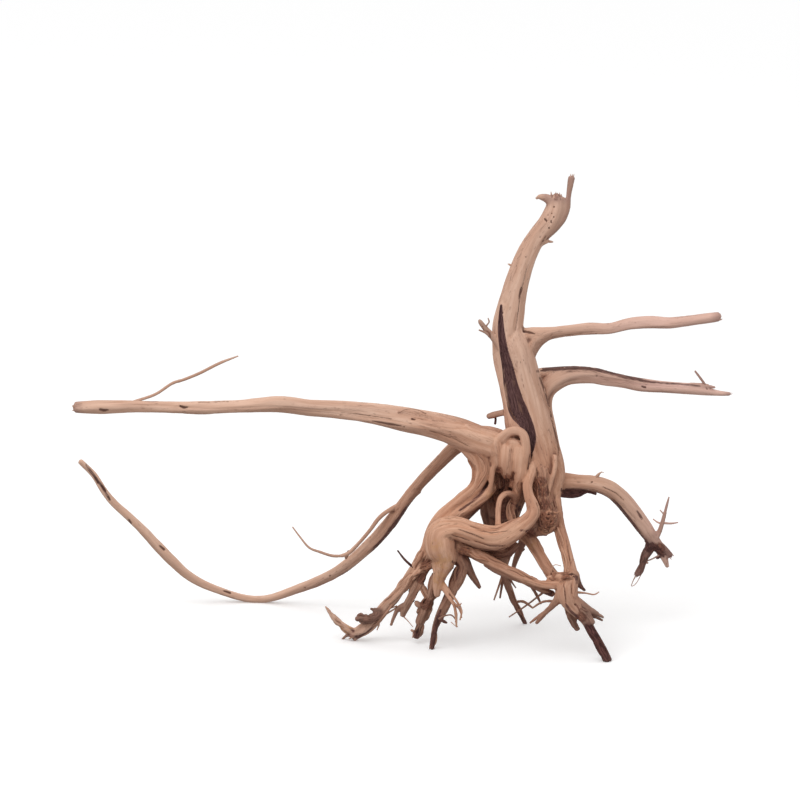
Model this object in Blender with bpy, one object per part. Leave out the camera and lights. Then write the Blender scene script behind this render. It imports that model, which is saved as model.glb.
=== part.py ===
"""Driftwood root: a dry, washed root crown with one broken upright stem, long limbs and a fringe of rootlets.

It is one piece of wood, so it is one object. It stands on five of its own root ends, on the plane z = 0.
Metres, +Z up. The root's front is towards -Y, and the origin is at the middle of its footprint.
"""

import math
import zlib

import bmesh
import bpy
import numpy as np

MM = 0.001

# The routes are surveyed on the root's front, in millimetres from a datum corner up and to the left of it:
# across to the right, down, and back. The front leans away from the upright by LEAN.
LEAN = math.radians(15)
DATUM_ACROSS = 402
DATUM_ABOVE_GROUND = 663
DATUM_TO_MIDDLE = 120.5

# The fused wood: cell size of the fusing, passes that round the crotches, and number of faces
# that is kept. Rounding takes a little off a limb all round, which is added back beforehand.
FUSE_CELL = 1.3 * MM
ROUNDING_PASSES = 7
KEPT_FACES = 6380
ROUNDED_OFF = 0.55
LIMB_SIDES = 20
LIMB_STEP = 3.0
CARVING_SIDES = 9
CARVING_STEP = 10.0
TWIG_SIDES = 5
TWIG_STEP = 14.0
TWIG_FLATS = 0.3
END_DOME = 0.6
CREASE_ANGLE = math.radians(50)

# How far a limb's section departs from a circle, as shares of its radius, by number of lobes.
SECTION_LOBES = {2: 0.08, 3: 0.06, 5: 0.04, 7: 0.025}
LOBE_TURN = 0.012
TWIG_LOBES = {2: 0.12}

WOOD_COLOUR = (0.50, 0.29, 0.19, 1.0)
WOOD_ROUGHNESS = 0.82

# Limbs as (across, down, back, radius), each on a smooth curve through its points.
LIMBS = {
    "stem": [
        (546, 512, 50, 10), (546, 494, 52, 14), (545, 474, 54, 18), (538, 450, 54, 20.5),
        (530.5, 425, 52, 22), (525, 400, 49, 20.6), (518.5, 373, 46, 20), (513, 350, 43, 20),
        (508, 330, 40, 16), (509.8, 312, 38, 14.8), (514.3, 290, 35, 13.2), (521.6, 268, 32, 11.4),
        (529.4, 250, 30, 10.2), (538.8, 235, 28, 9.2), (549.5, 221.5, 26, 9.2), (555.5, 208, 25, 8.8),
        (556, 198, 25, 8.4),
    ],
    "stem_hook": [(554, 204, 24, 6), (547, 198.5, 22, 4.2), (541, 197, 21, 3)],
    "stem_blade": [
        (530, 252, 32, 4), (538, 244, 32, 3.6), (547, 236, 31, 3.2), (556, 228, 30, 2.8),
        (563.5, 219, 30, 2.4), (567.5, 208, 30, 2.2), (568.5, 196, 30, 2.2), (570, 186, 30, 2.6),
        (571.5, 177, 30, 3),
    ],
    "upper_right_limb": [
        (514, 385, 46, 12), (521, 366, 45, 12), (527, 353, 42, 9.5), (535.5, 341.5, 37, 7.6),
        (545, 335.5, 31, 6.2), (557, 332, 24, 5.7), (573, 330, 16, 5.4), (590, 328.5, 8, 5.4),
        (610, 328.5, 1, 4.8), (630, 324, -5, 5.2), (650, 322.5, -10, 5.6), (670, 323, -15, 5.2),
        (690, 320.5, -19.5, 4.7), (708, 318, -24, 4.8), (719, 316.5, -26, 4.6),
    ],
    "middle_right_limb": [
        (552, 496, 70, 7), (555, 478, 68, 9), (553.5, 455, 65, 8.5), (548, 430, 62, 8.5),
        (543, 408, 60, 8.6), (545, 392, 60, 9), (555, 381.5, 60, 9), (570, 375.5, 62, 8.2),
        (590, 375, 65, 7.4), (605, 378, 68, 6.6), (622, 381, 71, 5.8), (640, 384.5, 74, 6),
        (660, 386.5, 77, 5.3), (680, 388, 80, 5.3), (700, 390, 83, 5), (716, 393, 85, 3),
        (730, 394, 86, 1.7),
    ],
    "lower_right_limb": [
        (535, 472, 66, 11), (556, 479.5, 70, 8.6), (575, 482, 74, 7), (592, 483.5, 78, 7),
        (608, 488.5, 84, 7.5), (621, 498.5, 91, 7.8), (632.5, 511.5, 98, 8), (643.5, 526, 106, 7.8),
        (652.5, 538.5, 112, 7), (659, 547.5, 117, 5.6), (664, 557, 121, 3.6), (667.5, 567, 125, 1.8),
    ],
    "lower_right_fork": [
        (650, 536, 110, 6), (650, 545, 112, 5), (646, 554, 113, 3.8), (643, 563, 114, 3),
        (639.5, 571, 115, 3.5), (636, 575, 116, 2.4),
    ],
    "lower_right_stub": [
        (656, 543, 114, 5.5), (663, 549, 117, 4), (668, 553, 119, 3.2), (671, 556, 120, 2.4),
    ],
    "dark_flap": [
        (548, 482, 78, 8), (559, 489, 80, 7.5), (568, 491.5, 82, 7), (577, 492, 83, 6),
        (585, 491, 85, 3.2),
    ],
    "upper_left_limb": [
        (512, 462, 52, 16), (495, 448.5, 46, 18), (475, 440.5, 43, 17.4), (455, 431.8, 40, 15),
        (430, 424.7, 37, 12.6), (400, 418.5, 33, 11.4), (370, 413.5, 29, 9.4), (340, 409.7, 25, 8.2),
        (310, 407.3, 21, 7.6), (280, 404, 17, 7.8), (240, 406.6, 12, 6.6), (200, 407.5, 8, 6.4),
        (160, 407, 3, 5.3), (130, 406.5, 0, 5.5), (100, 407, -3, 6), (75, 407.5, -5, 4.8),
    ],
    "lower_left_limb": [
        (512, 450, 62, 10), (495, 438, 64, 9), (476, 436, 70, 8.5), (457, 446, 78, 7.2),
        (438, 463.5, 92, 6.6), (418.5, 485, 108, 6), (405, 502, 120, 6), (393, 519, 134, 6.2),
        (378, 537, 150, 6), (361, 553, 168, 5.4), (340, 569.5, 185, 5), (318, 581, 200, 4.6),
        (295, 590, 212, 4.2), (275, 597, 221, 3.8), (258, 599.3, 226, 3.6), (240, 597, 226, 3.6),
        (220, 590.5, 222, 3.7), (202, 583.5, 216, 3.9), (186, 573.5, 209, 4.2), (172, 560.5, 202, 4.6),
        (158, 546.5, 196, 4.4), (145, 532.5, 190, 4), (130, 518, 184, 3.6), (113, 502.5, 178, 3.5),
        (102, 488, 173, 3.3), (93, 474, 169, 3.1), (80, 461, 165, 2.8),
    ],
    "boss": [
        (486, 448, 40, 8), (495, 443, 35, 6.5), (502, 438, 30.5, 4.9), (508, 432.8, 28, 4.2),
        (515, 430.8, 27, 4), (521.5, 433.2, 27, 4.1), (524.8, 440, 27.5, 3.9), (525, 452, 29, 4.2),
        (523, 463, 32, 6), (522, 473, 34.5, 6.6), (519, 483, 40, 5.6), (518, 493, 44, 4.8),
        (516, 500, 47, 4.4),
    ],
    "crown_heart": [
        (500, 455, 52, 15), (503, 468, 58, 13), (508, 485, 68, 11), (507, 503, 74, 9.5),
        (508, 522, 72, 9.5),
    ],
    "crown_back": [
        (542, 436, 72, 11), (530, 466, 78, 13), (516, 492, 82, 11), (508, 520, 80, 9),
        (506, 542, 76, 8),
    ],
    "left_strand": [
        (462, 438, 42, 10), (477, 453, 42, 11.5), (482, 467, 42, 9), (479, 479.5, 42, 7),
        (472.5, 489.5, 41, 5.8), (462, 498.5, 40, 5.6), (450, 509, 39, 6), (440.5, 520, 38, 7.2),
        (432, 534, 37, 6.6), (426.5, 548, 38, 5), (420, 560, 41, 5), (412.5, 573, 46, 4.6),
    ],
    "left_strand_inner": [
        (497, 480, 52, 5), (490.5, 490, 46, 4.6), (483, 497, 42, 5.2), (470, 506, 41, 5.4),
        (456, 515.5, 38, 5.8), (444, 526, 33, 6),
    ],
    "back_strand": [
        (496, 462, 64, 9), (489, 484, 70, 7), (487, 503, 75, 6.5), (491, 522, 78, 7), (501, 542, 78, 8),
    ],
    "great_bend": [
        (539, 438, 54, 8), (536, 456, 46, 8), (531, 471, 37, 6.4), (527.8, 485, 30.5, 4.9),
        (529, 495, 27.5, 5), (532.3, 504, 25, 6), (532.8, 513, 22.8, 7.2), (525, 522.5, 19.5, 8.4),
        (512, 531, 16.5, 11.2), (498, 537.5, 15, 12.4), (484, 537, 15, 12), (469, 532.5, 15, 11.2),
        (455, 528.5, 17, 11.2), (441, 533, 19, 13.5), (441, 547, 21, 14), (444.5, 559, 24, 11.2),
        (442, 569, 27, 8.4), (439.3, 578, 30, 5.8), (437.7, 587, 33, 4.2), (437, 596, 36, 2.6),
    ],
    "burl": [
        (543, 480, 44, 10), (543, 492, 42, 8), (545, 503, 40, 8.4), (547, 513, 38.5, 9.8),
        (547.5, 523, 39.5, 9.6), (546, 530, 42, 7),
    ],
    "right_leg": [
        (550, 480, 58, 10), (553, 494, 55, 8), (556, 508, 50, 6.6), (559, 525, 44, 5.7),
        (563, 540, 37, 5.4), (566.5, 555, 28, 5.3), (569.8, 569, 19, 5.7), (570, 580, 14, 7.6),
        (567, 591, 11, 9.4), (568.5, 599, 10, 9), (573.5, 606.5, 10, 7.6), (579.5, 613, 10, 6.2),
        (585, 619.5, 10, 4.6),
    ],
    "middle_leg": [
        (512, 522, 56, 7), (521, 531, 48, 7), (531, 541, 43, 5.8), (539.5, 554, 36, 4.8),
        (547.5, 568, 27, 4.8), (555.5, 579, 20, 5.4), (563, 590, 15, 6),
    ],
    "ankle_cuff": [(549, 580, 17, 4.6), (560, 577.5, 13, 4.6), (568, 577, 12, 5), (575, 574, 16, 5)],
    "crossing_root": [
        (452, 541, 28, 6), (464, 547.5, 25, 5.8), (480, 555, 22, 5.4), (500, 566, 20, 4.7),
        (520, 576, 18, 4.2), (540, 583.8, 14, 4), (553, 585, 12, 4.6), (563, 584, 12, 5),
    ],
    "crossing_fork": [
        (486, 562, 27, 4.6), (498, 569, 24, 5), (510, 575, 23, 4.2), (524, 581, 23, 3.4),
        (537, 587, 23, 3.1), (546, 591, 23, 3), (553.5, 594, 23, 2.9),
    ],
    "outer_finger": [
        (421, 560, 40, 4.6), (412, 573, 45, 4.6), (402, 588, 53, 4.4), (391.5, 601, 61, 4.4),
        (379.5, 614, 69, 4.8), (366, 628, 77, 5.2), (352.5, 636.5, 83, 4.7),
    ],
    "finger_bridge": [
        (440, 560, 30, 3.6), (431, 566, 31, 3.1), (420, 570.5, 38, 3), (408, 579, 47, 3.1),
        (399, 587, 54, 3.4),
    ],
    "second_finger": [
        (432, 552, 34, 4.4), (427, 566, 39, 3.6), (421, 578, 44, 3.4), (416, 588, 48, 3.6),
        (410.5, 598, 54, 3.8), (405.5, 608, 60, 3.5), (402.3, 616, 64, 2.4),
    ],
    "knobby_finger": [
        (436, 574, 36, 4), (433, 588, 42, 4.6), (430, 598, 50, 5.2), (425, 609, 57, 6.2),
        (421.5, 619, 62.5, 4.8), (418.8, 627, 66, 3.6), (416.6, 633.5, 69, 4.6),
        (415.5, 636.5, 70, 4.2),
    ],
    "dark_finger": [
        (453, 552, 30, 7), (461.5, 565, 34, 5.8), (459, 575, 36, 5.5), (454.3, 585, 38, 5.2),
        (449.3, 596, 40, 4.8), (444, 606.5, 42.5, 4.2), (438.8, 618, 45.5, 3.8), (434.8, 630, 48, 3),
        (432.7, 641, 50, 2.7), (431.8, 650, 51.5, 2.6),
    ],
    "blunt_prong": [
        (456, 547, 32, 6), (464, 560, 34, 5.4), (471, 573, 37, 3.8), (476.5, 582, 39, 2.7),
        (480, 588, 41, 1.7),
    ],
    "foot_lobe": [(574, 604, 11, 6.5), (582, 611, 9, 4.9), (588.5, 618, 8, 3.6), (592.8, 624, 7, 2.4)],
    "foot_toe": [
        (564, 590, 12, 7), (559.5, 598, 12, 5), (553.5, 604.5, 13.5, 3), (546.5, 611.5, 17, 2.4),
        (541, 617.5, 19, 2.2), (536, 623.5, 21, 1.6),
    ],
    "foot_heel": [
        (566, 598, 11, 6), (567.8, 608, 14, 3.4), (571.5, 617, 17, 2.8), (575, 624, 19, 2.8),
        (577.8, 629.5, 21, 2.4),
    ],
    "prop_root": [
        (508, 534, 68, 8), (504, 548, 76, 7), (502, 560, 86, 5), (503.5, 573, 100, 3.7),
        (509.5, 588, 115, 2.9), (515, 603, 129, 2.7), (520, 613, 138, 2.5), (525.5, 624, 147, 2.1),
    ],
    "upper_right_web": [
        (505, 346, 42, 10), (519, 338.5, 40, 8.4), (532, 334.3, 35, 6.2), (545, 332.8, 29, 5),
        (560, 331.2, 21.5, 4.4),
    ],
    "middle_right_strip": [
        (526, 379, 62, 7), (540, 374, 64, 6), (556, 371.5, 66, 5), (575, 370.3, 67, 4.4),
        (595, 372, 70, 4.2), (610, 375.5, 72, 3.6), (632, 380, 75, 3),
    ],
    "boss_core": [
        (494, 452, 42, 13), (507, 446, 37, 9.5), (515, 446, 34, 8), (517, 458, 36.5, 9),
        (516, 472, 43, 7.5), (514, 486, 48, 6),
    ],
    "hidden_strand": [(486, 494, 60, 6), (475, 506, 56, 5), (465, 516, 48, 4.6), (457, 524, 38, 5)],
    "under_bulk": [
        (462, 548, 34, 6.5), (477, 551, 34, 6), (492, 554, 34, 6), (507, 552, 36, 5), (517, 545, 40, 4),
    ],
    "burl_lip": [(523, 532, 46, 4), (534, 531.5, 43, 5), (546, 530, 42, 6)],
    "burl_knob": [(541, 510, 32, 3.6), (541.5, 518, 30.5, 4), (543, 526, 32, 4.2)],
    "burl_wart": [(552, 512, 34, 3.4), (554, 517, 35, 3.2), (552.5, 524, 34, 3.8), (550, 530, 36, 3.4)],
    "long_toe": [
        (580, 612, 11, 5.4), (585, 619.5, 10, 4.8), (589.5, 627, 9.5, 3.9), (596.3, 638, 8.5, 3.8),
        (602, 648.5, 7, 4.2), (605.3, 656, 6, 4.6), (607.5, 661.5, 6, 4.7),
    ],
    "cuff_lump": [(569, 571, 17, 3.6), (574, 575, 15, 4.4), (575.5, 580, 14.5, 3.4)],
}

# Twigs and rootlets, in the same way. Each starts inside the wood that it grows from.
TWIGS = {
    "stem_hook_tip": [(543, 197, 21, 2.8), (539, 197, 20.5, 2.2), (536, 198.5, 20, 0.9)],
    "stem_spur": [(540, 244, 30, 2.8), (546.5, 241.5, 30, 2.2), (553, 242, 30, 0.8)],
    "stem_nub": [(514, 268, 28, 2.2), (510.5, 265, 27, 1.4), (508, 264, 26.5, 0.7)],
    "fan_stub": [
        (500, 347, 36, 4), (493, 337.5, 33, 3.4), (486, 329.5, 31, 2.9), (480.5, 322.5, 29, 2.6),
        (479.5, 320, 28.5, 1.8),
    ],
    "fan_splinter": [(493, 339, 32, 1.8), (486, 333, 29, 1.3), (479, 330, 27, 0.8)],
    "fan_curl": [
        (488, 331, 31, 1.2), (486.5, 326, 29, 0.9), (489, 322, 28, 0.8), (488, 318, 27.5, 0.6),
    ],
    "left_stub": [
        (511, 411, 58, 3.6), (501, 413, 60, 3.2), (493, 415, 62, 3.2), (487.5, 416.5, 63, 2.4),
    ],
    "left_stub_drip": [(494, 414, 63, 1.6), (495.5, 419, 64, 1.3), (495, 424, 64.5, 1.4)],
    "split_tip": [(690, 386, 80, 3), (704, 386, 81, 2.4), (715, 387.3, 82, 0.9)],
    "split_twig": [
        (707, 390, 81, 1.5), (704.5, 384, 80, 1.3), (700, 377.5, 79, 1.2), (695, 371, 78, 0.9),
    ],
    "flap_tip": [(580, 491.5, 84, 3), (588, 491.5, 85.5, 2), (596, 494, 87, 1.5)],
    "fork_mast": [
        (655, 540, 109, 3), (659.5, 531, 108, 2.3), (663, 520, 106.5, 1.9), (666, 508, 105, 1.6),
        (669, 497, 103, 0.8),
    ],
    "mast_right": [(663, 523, 107, 1.3), (671, 523.5, 106, 1), (678, 522.5, 105, 0.6)],
    "mast_left": [(664, 523.5, 107, 1.3), (658, 522.5, 108, 1), (653, 519, 109, 0.6)],
    "mast_top": [(665.5, 516, 106, 1), (660, 510, 107, 0.6)],
    "fork_wire": [
        (648, 563, 113, 1), (644, 562, 114, 0.8), (651, 559.5, 115, 0.7), (659, 555.5, 116, 1),
    ],
    "fork_hook": [(661, 552, 117, 2.6), (659, 557, 117, 1.8), (656.5, 558.5, 116, 0.9)],
    "limb_nub": [(596, 477, 76, 1.6), (599, 473.5, 75, 0.9), (602, 472, 74.5, 0.6)],
    "back_twig": [
        (120, 407, 3, 2.4), (133, 402, 12, 1.7), (155, 394.5, 22, 1.5), (172, 383.5, 29, 1.6),
        (184, 379.5, 34, 1.4), (200, 373, 40, 1.5), (220, 363, 47, 1.4), (238, 356, 53, 0.7),
    ],
    "limb_branch": [
        (418, 490, 110, 4.4), (404, 503, 120, 3.4), (392, 508.5, 124, 2.6), (380, 517, 128, 2.3),
        (370, 530, 132, 2), (358, 544, 137, 1.9), (347, 554, 142, 1.9), (334, 556, 147, 1.5),
        (320, 552, 151, 1.3), (309, 547.5, 154, 1.1), (300, 537, 157, 0.8), (292.5, 527, 159, 0.6),
    ],
    "branch_stub": [(349, 551, 141, 1.8), (345.5, 558.5, 143, 1.2)],
    "crown_arch": [
        (514, 508, 46, 3), (515, 500, 44, 3.4), (511.5, 494.6, 40, 3.4), (505.5, 494, 35.5, 3.3),
        (500.3, 499, 31.5, 3.1), (498.3, 510, 28, 3), (498, 523, 24, 3.1), (498.5, 532, 19, 3),
    ],
    "crown_strand": [
        (520, 486, 48, 4.4), (516, 498, 48, 4), (511.5, 508, 46, 3.6), (511, 517, 40, 3.6),
        (514, 526, 30, 3.4),
    ],
    "crown_thread": [
        (497, 458, 33, 2.6), (493.5, 468, 35, 2.4), (492, 478, 38, 2.3), (490.5, 487, 41, 2.6),
        (486, 494, 42, 3),
    ],
    "blade_prong": [(462, 552, 38, 3.2), (469, 564, 40, 2.2), (474.5, 575.5, 42, 0.9)],
    "hand_twig": [(415, 569, 42, 1.4), (405, 560, 39, 1.2), (397.5, 550.5, 36, 0.8)],
    "inner_finger": [
        (424, 551, 38, 3.4), (423, 562, 42, 2.8), (416, 571, 45, 3), (411, 581, 48, 2.6),
        (406.5, 590, 51, 1.6),
    ],
    "second_fork": [
        (405, 605, 58, 3), (398.5, 608.5, 62, 2.5), (394.5, 616, 66, 2), (391, 625, 69, 1.6),
    ],
    "second_hair": [(398, 607, 61, 1.1), (388, 613, 66, 0.8), (383, 617, 70, 0.9)],
    "knob_left": [(425, 606, 56, 4), (419, 605, 53, 3.2), (416, 602, 52, 2.6)],
    "knob_strand": [(420, 576, 45, 2.6), (422, 586, 47, 2.8), (427, 596, 50, 3), (428, 606, 55, 3)],
    "knob_spur": [(417, 633, 73, 3), (411, 630, 74, 1)],
    "curl_one": [
        (441, 584, 32, 2.4), (447.5, 595, 30, 2), (454, 605, 28, 1.7), (456, 616, 28, 1.4),
        (456.5, 627, 29, 0.9),
    ],
    "curl_two": [
        (443, 583, 30, 2), (450, 592, 29.5, 1.7), (457.5, 602.5, 29, 1.4), (461.5, 611, 28, 1.2),
        (460, 620, 28, 0.8),
    ],
    "dark_spur": [(438, 617, 40, 2.8), (443, 621, 40, 1.8), (447, 623, 40, 0.8)],
    "dark_hair": [(439, 619, 39, 1.4), (444, 616, 37, 0.8), (451, 615, 35, 0.7), (455.5, 619, 32, 0.9)],
    "bark_blob": [(380, 613, 66, 4.6), (370, 619, 65, 4.2), (361, 618, 66, 3.8), (356, 619.5, 67, 2.4)],
    "bark_spur": [(380, 611, 63, 3), (373, 609.5, 62, 1.8), (370.5, 608.5, 62, 0.8)],
    "left_arm": [
        (359, 634, 81, 4.2), (350, 630.5, 81, 3.7), (340, 623.5, 80, 3), (333.5, 618, 79, 2.4),
        (329, 612, 78, 1.5), (325.5, 606.5, 77, 0.7),
    ],
    "left_claw": [(352, 633, 84, 3.4), (346, 636, 87, 1.9), (341.5, 640, 90, 0.7)],
    "claw_hair": [(377, 619, 70, 1.4), (379, 624, 72, 0.9), (377, 630, 74, 0.6)],
    "toe_fork": [(546, 612, 17, 2.4), (538.5, 616.5, 20, 1.8), (530, 623, 22, 0.9)],
    "toe_twig": [(559, 602, 13, 2), (549, 601, 20, 1.4), (541, 602.5, 26, 1.2), (532.5, 608, 31, 0.9)],
    "prop_twig": [(513, 603, 128, 1.6), (523, 601.5, 123, 1.4), (533, 608, 118, 0.9)],
    "long_rootlet": [
        (546, 590, 24, 1.4), (536, 598, 34, 0.9), (524, 607, 46, 0.8), (509, 617, 58, 0.6),
    ],
    "crossing_twig": [(529, 583, 26, 1.8), (536, 594, 32, 1.5), (541, 604, 37, 0.8)],
    "upper_prong": [
        (575, 600, 12, 5), (588, 608.5, 12, 3.4), (596, 613, 12, 2.3), (603.5, 617.5, 12, 0.9),
    ],
    "lower_prong": [(582, 607, 13, 3.6), (592, 614.5, 15, 2.4), (602.5, 620.5, 18, 0.9)],
    "heel_spur": [(574, 574, 17, 4.6), (578.5, 584, 20, 2.9), (585, 590.5, 22, 1.1)],
    "heel_hair": [(572, 592, 14, 1.8), (585, 593, 18, 1), (594, 594.5, 20, 0.8), (599, 592, 22, 0.6)],
    "prop_rootlet": [(504.5, 569, 96, 1.9), (500, 583, 104, 1.3), (494, 600, 112, 0.8)],
    "prop_sister": [(504, 572, 99, 1.9), (502, 585, 106, 1.4), (500, 598, 111, 1)],
    "prop_spur": [(506, 573, 101, 1.8), (511, 581, 106, 1.1), (516, 588, 108, 0.6)],
    "burl_root": [(524, 538, 52, 4.6), (519.5, 550, 61, 3.2), (515, 562, 68, 2.5), (511, 578, 77, 1.4)],
    "burl_spur": [(519, 552, 62, 2.2), (524.5, 549, 62, 0.9)],
    "burl_rootlet": [(508, 541, 72, 2.6), (510, 553, 72, 1.5), (507, 566, 74, 0.8)],
    "stem_knot": [(510, 302, 33, 4), (505, 302, 26, 3.2), (504, 302, 24, 2.4)],
    "crown_rib": [(499, 462, 46, 2.6), (498.5, 474, 49.5, 2.4), (500, 488, 52, 2.8)],
    "crown_rib_inner": [(507, 464, 47, 2.6), (508, 478, 52, 2.4), (506, 492, 56, 2.8)],
    "crown_seam": [
        (466, 425, 30, 2), (478, 435.5, 29.5, 1.6), (487, 445, 30, 1.6), (496, 454.5, 31.5, 1.8),
        (500, 461, 34, 2),
    ],
    "furrow_bark": [(489, 484, 47, 3), (481, 495, 46, 3), (470, 504, 45.5, 3), (461, 511, 45, 2.6)],
    "edge_strand": [
        (555.5, 456, 40, 2), (555, 468, 38.5, 2.2), (551.8, 480, 38, 2.2), (548.8, 490, 37, 2.2),
        (547, 500, 36, 2),
    ],
    "bark_strand": [
        (536.5, 470, 38, 1.9), (538, 483, 35.5, 2.1), (540, 495, 33.8, 2), (542, 506, 31.5, 1.8),
    ],
    "bark_strand_middle": [
        (541, 466, 36.5, 1.9), (543, 479, 34, 2.2), (544.5, 491, 34, 2.1), (545.5, 503, 32, 1.8),
    ],
    "bark_strand_right": [
        (546, 468, 37, 1.9), (547.5, 480, 35.5, 2.1), (546.5, 492, 36, 1.9), (549, 503, 33.5, 1.8),
    ],
    "burl_hair": [(551, 511, 33, 1.6), (556, 513, 31, 1), (559.5, 511.5, 30, 0.7)],
}

# Hollows cut into the fused wood.
CARVINGS = {
    "stem_hollow": [
        (501.5, 306, 24.8, 1.4), (500.8, 320, 24.8, 3), (501.5, 338, 24.8, 4.4),
        (505.5, 360, 27.8, 6.8), (509.3, 382, 31.3, 8.2), (513.8, 399, 32.8, 8.8),
        (518.5, 411, 33.8, 9.2), (526, 423, 34.8, 6.8), (530.8, 436, 35.8, 5), (529.8, 449, 36.8, 4.2),
        (528, 459, 35.8, 2.6), (527.5, 468, 36.8, 1.4),
    ],
    "boss_eye": [(513.5, 436.8, 26.3, 1.6), (516.5, 437, 27.8, 2.5), (519.5, 436.2, 28.3, 1.5)],
    "crown_hollow": [
        (503, 462, 40, 2), (503.5, 470, 41, 5.4), (503.5, 480, 44, 7), (501, 489, 47, 6.2),
        (498, 498, 50, 4),
    ],
    "palm_gap": [(452.5, 568, 24, 2), (449, 574, 27, 2.6), (447, 581, 32, 2)],
}


def frame_position(across, down, back):
    """The place in the part's own frame, in metres, of points surveyed on the leaning front."""
    height = DATUM_ABOVE_GROUND - down
    along_y = height * math.sin(LEAN) + back * math.cos(LEAN) - DATUM_TO_MIDDLE
    along_z = height * math.cos(LEAN) - back * math.sin(LEAN)
    return np.stack([across - DATUM_ACROSS, along_y, along_z], axis=-1) * MM


def smooth_route(route, step, added=0.0):
    """(points, radii) in metres on a Catmull-Rom curve through the route, about step millimetres apart."""
    table = np.array(route, float)
    ends = 2 * table[[0, -1]] - table[[1, -2]]
    table = np.vstack([ends[:1], table, ends[1:]])
    samples = []
    for before, start, end, after in zip(table, table[1:], table[2:], table[3:]):
        count = max(1, round(float(np.linalg.norm(end[:3] - start[:3])) / step))
        t = (np.arange(count) / count)[:, None]
        samples.append(
            0.5 * (2 * start + (end - before) * t + (2 * before - 5 * start + 4 * end - after) * t**2
                   + (3 * start - before - 3 * end + after) * t**3)
        )
    samples = np.vstack(samples + [table[-2:-1]])
    radii = (np.maximum(samples[:, 3], 0.5) + added) * MM
    return frame_position(samples[:, 0], samples[:, 1], samples[:, 2]), radii


def section_axes(points):
    """Two unit vectors across the route at each point, the first near the axis the route runs along least."""
    tangents = np.gradient(points, axis=0)
    tangents /= np.linalg.norm(tangents, axis=1, keepdims=True)
    reference = np.eye(3)[np.abs(tangents).max(axis=0).argmin()]
    first = reference - (tangents @ reference)[:, None] * tangents
    first /= np.linalg.norm(first, axis=1, keepdims=True)
    return tangents, first, np.cross(tangents, first)


def tube(name, route, sides, step, lobes, added=0.0):
    """(vertices, faces) of a closed tube along the route: domed ends, a lobed section that turns slowly."""
    points, radii = smooth_route(route, step, added)
    tangents, first, second = section_axes(points)
    phases = np.random.default_rng(zlib.crc32(name.encode())).uniform(0, 2 * math.pi, len(lobes))
    angles = np.linspace(0, 2 * math.pi, sides, endpoint=False)
    travel = np.concatenate([[0], np.cumsum(np.linalg.norm(np.diff(points, axis=0), axis=1))]) / MM
    shape = 1 + sum(
        depth * np.cos(count * angles[None, :] + phase + LOBE_TURN * count * travel[:, None])
        for (count, depth), phase in zip(lobes.items(), phases)
    )
    around = np.cos(angles)[None, :, None] * first[:, None, :]
    around = around + np.sin(angles)[None, :, None] * second[:, None, :]
    rings = points[:, None, :] + around * (radii[:, None] * shape)[:, :, None]
    tips = [points[0] - END_DOME * radii[0] * tangents[0], points[-1] + END_DOME * radii[-1] * tangents[-1]]
    vertices = np.vstack([rings.reshape(-1, 3), tips])
    count = len(points)
    faces = []
    for side in range(sides):
        following = (side + 1) % sides
        for ring in range(0, (count - 1) * sides, sides):
            faces.append((ring + side, ring + following, ring + sides + following, ring + sides + side))
        faces.append((following, side, count * sides))
        faces.append(((count - 1) * sides + side, (count - 1) * sides + following, count * sides + 1))
    return vertices, faces


def mesh_object(name, shells):
    """One object from several closed shells, each as (vertices, faces)."""
    vertices = []
    faces = []
    for shell_vertices, shell_faces in shells:
        base = len(vertices)
        vertices += [tuple(v) for v in shell_vertices]
        faces += [tuple(base + corner for corner in face) for face in shell_faces]
    mesh = bpy.data.meshes.new(name)
    mesh.from_pydata(vertices, [], faces)
    mesh.validate()
    made = bpy.data.objects.new(name, mesh)
    bpy.context.scene.collection.objects.link(made)
    return made


def helper_collection(name, objects):
    """A collection of shapes that are only joined to the root or cut from it."""
    collection = bpy.data.collections.new(name)
    bpy.context.scene.collection.children.link(collection)
    collection.hide_render = True
    for helper in objects:
        bpy.context.scene.collection.objects.unlink(helper)
        collection.objects.link(helper)
        helper.hide_render = True
        helper.display_type = "WIRE"
    return collection


def ground_slab():
    """A slab under z = 0, which trims the root ends that it stands on to small flats."""
    corners = [(x, y, z) for x in (-0.5, 0.5) for y in (-0.5, 0.5) for z in (-0.1, 0.0)]
    sides = [(0, 1, 3, 2), (4, 6, 7, 5), (0, 4, 5, 1), (2, 3, 7, 6), (0, 2, 6, 4), (1, 5, 7, 3)]
    return mesh_object("ground_slab", [(corners, sides)])


def add_boolean(target, name, operation, collection):
    joint = target.modifiers.new(name, "BOOLEAN")
    joint.operation = operation
    joint.operand_type = "COLLECTION"
    joint.collection = collection
    joint.solver = "EXACT"


def apply_modifiers(target):
    """Puts the mesh that the modifiers give in place of the object's own."""
    graph = bpy.context.evaluated_depsgraph_get()
    shaped = bpy.data.meshes.new_from_object(target.evaluated_get(graph))
    target.modifiers.clear()
    target.data = shaped


def fill_sealed_hollows(target):
    """Removes the shells that fusing leaves round pockets in the wood. Only the outer surface stays."""
    skin = bmesh.new()
    skin.from_mesh(target.data)
    skin.verts.ensure_lookup_table()
    shells = []
    unvisited = set(skin.verts)
    while unvisited:
        front = [unvisited.pop()]
        shell = []
        while front:
            vertex = front.pop()
            shell.append(vertex)
            fresh = {edge.other_vert(vertex) for edge in vertex.link_edges} & unvisited
            unvisited -= fresh
            front += fresh
        shells.append(shell)
    shells.sort(key=len)
    for shell in shells[:-1]:
        bmesh.ops.delete(skin, geom=shell, context="VERTS")
    skin.to_mesh(target.data)
    skin.free()


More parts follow.
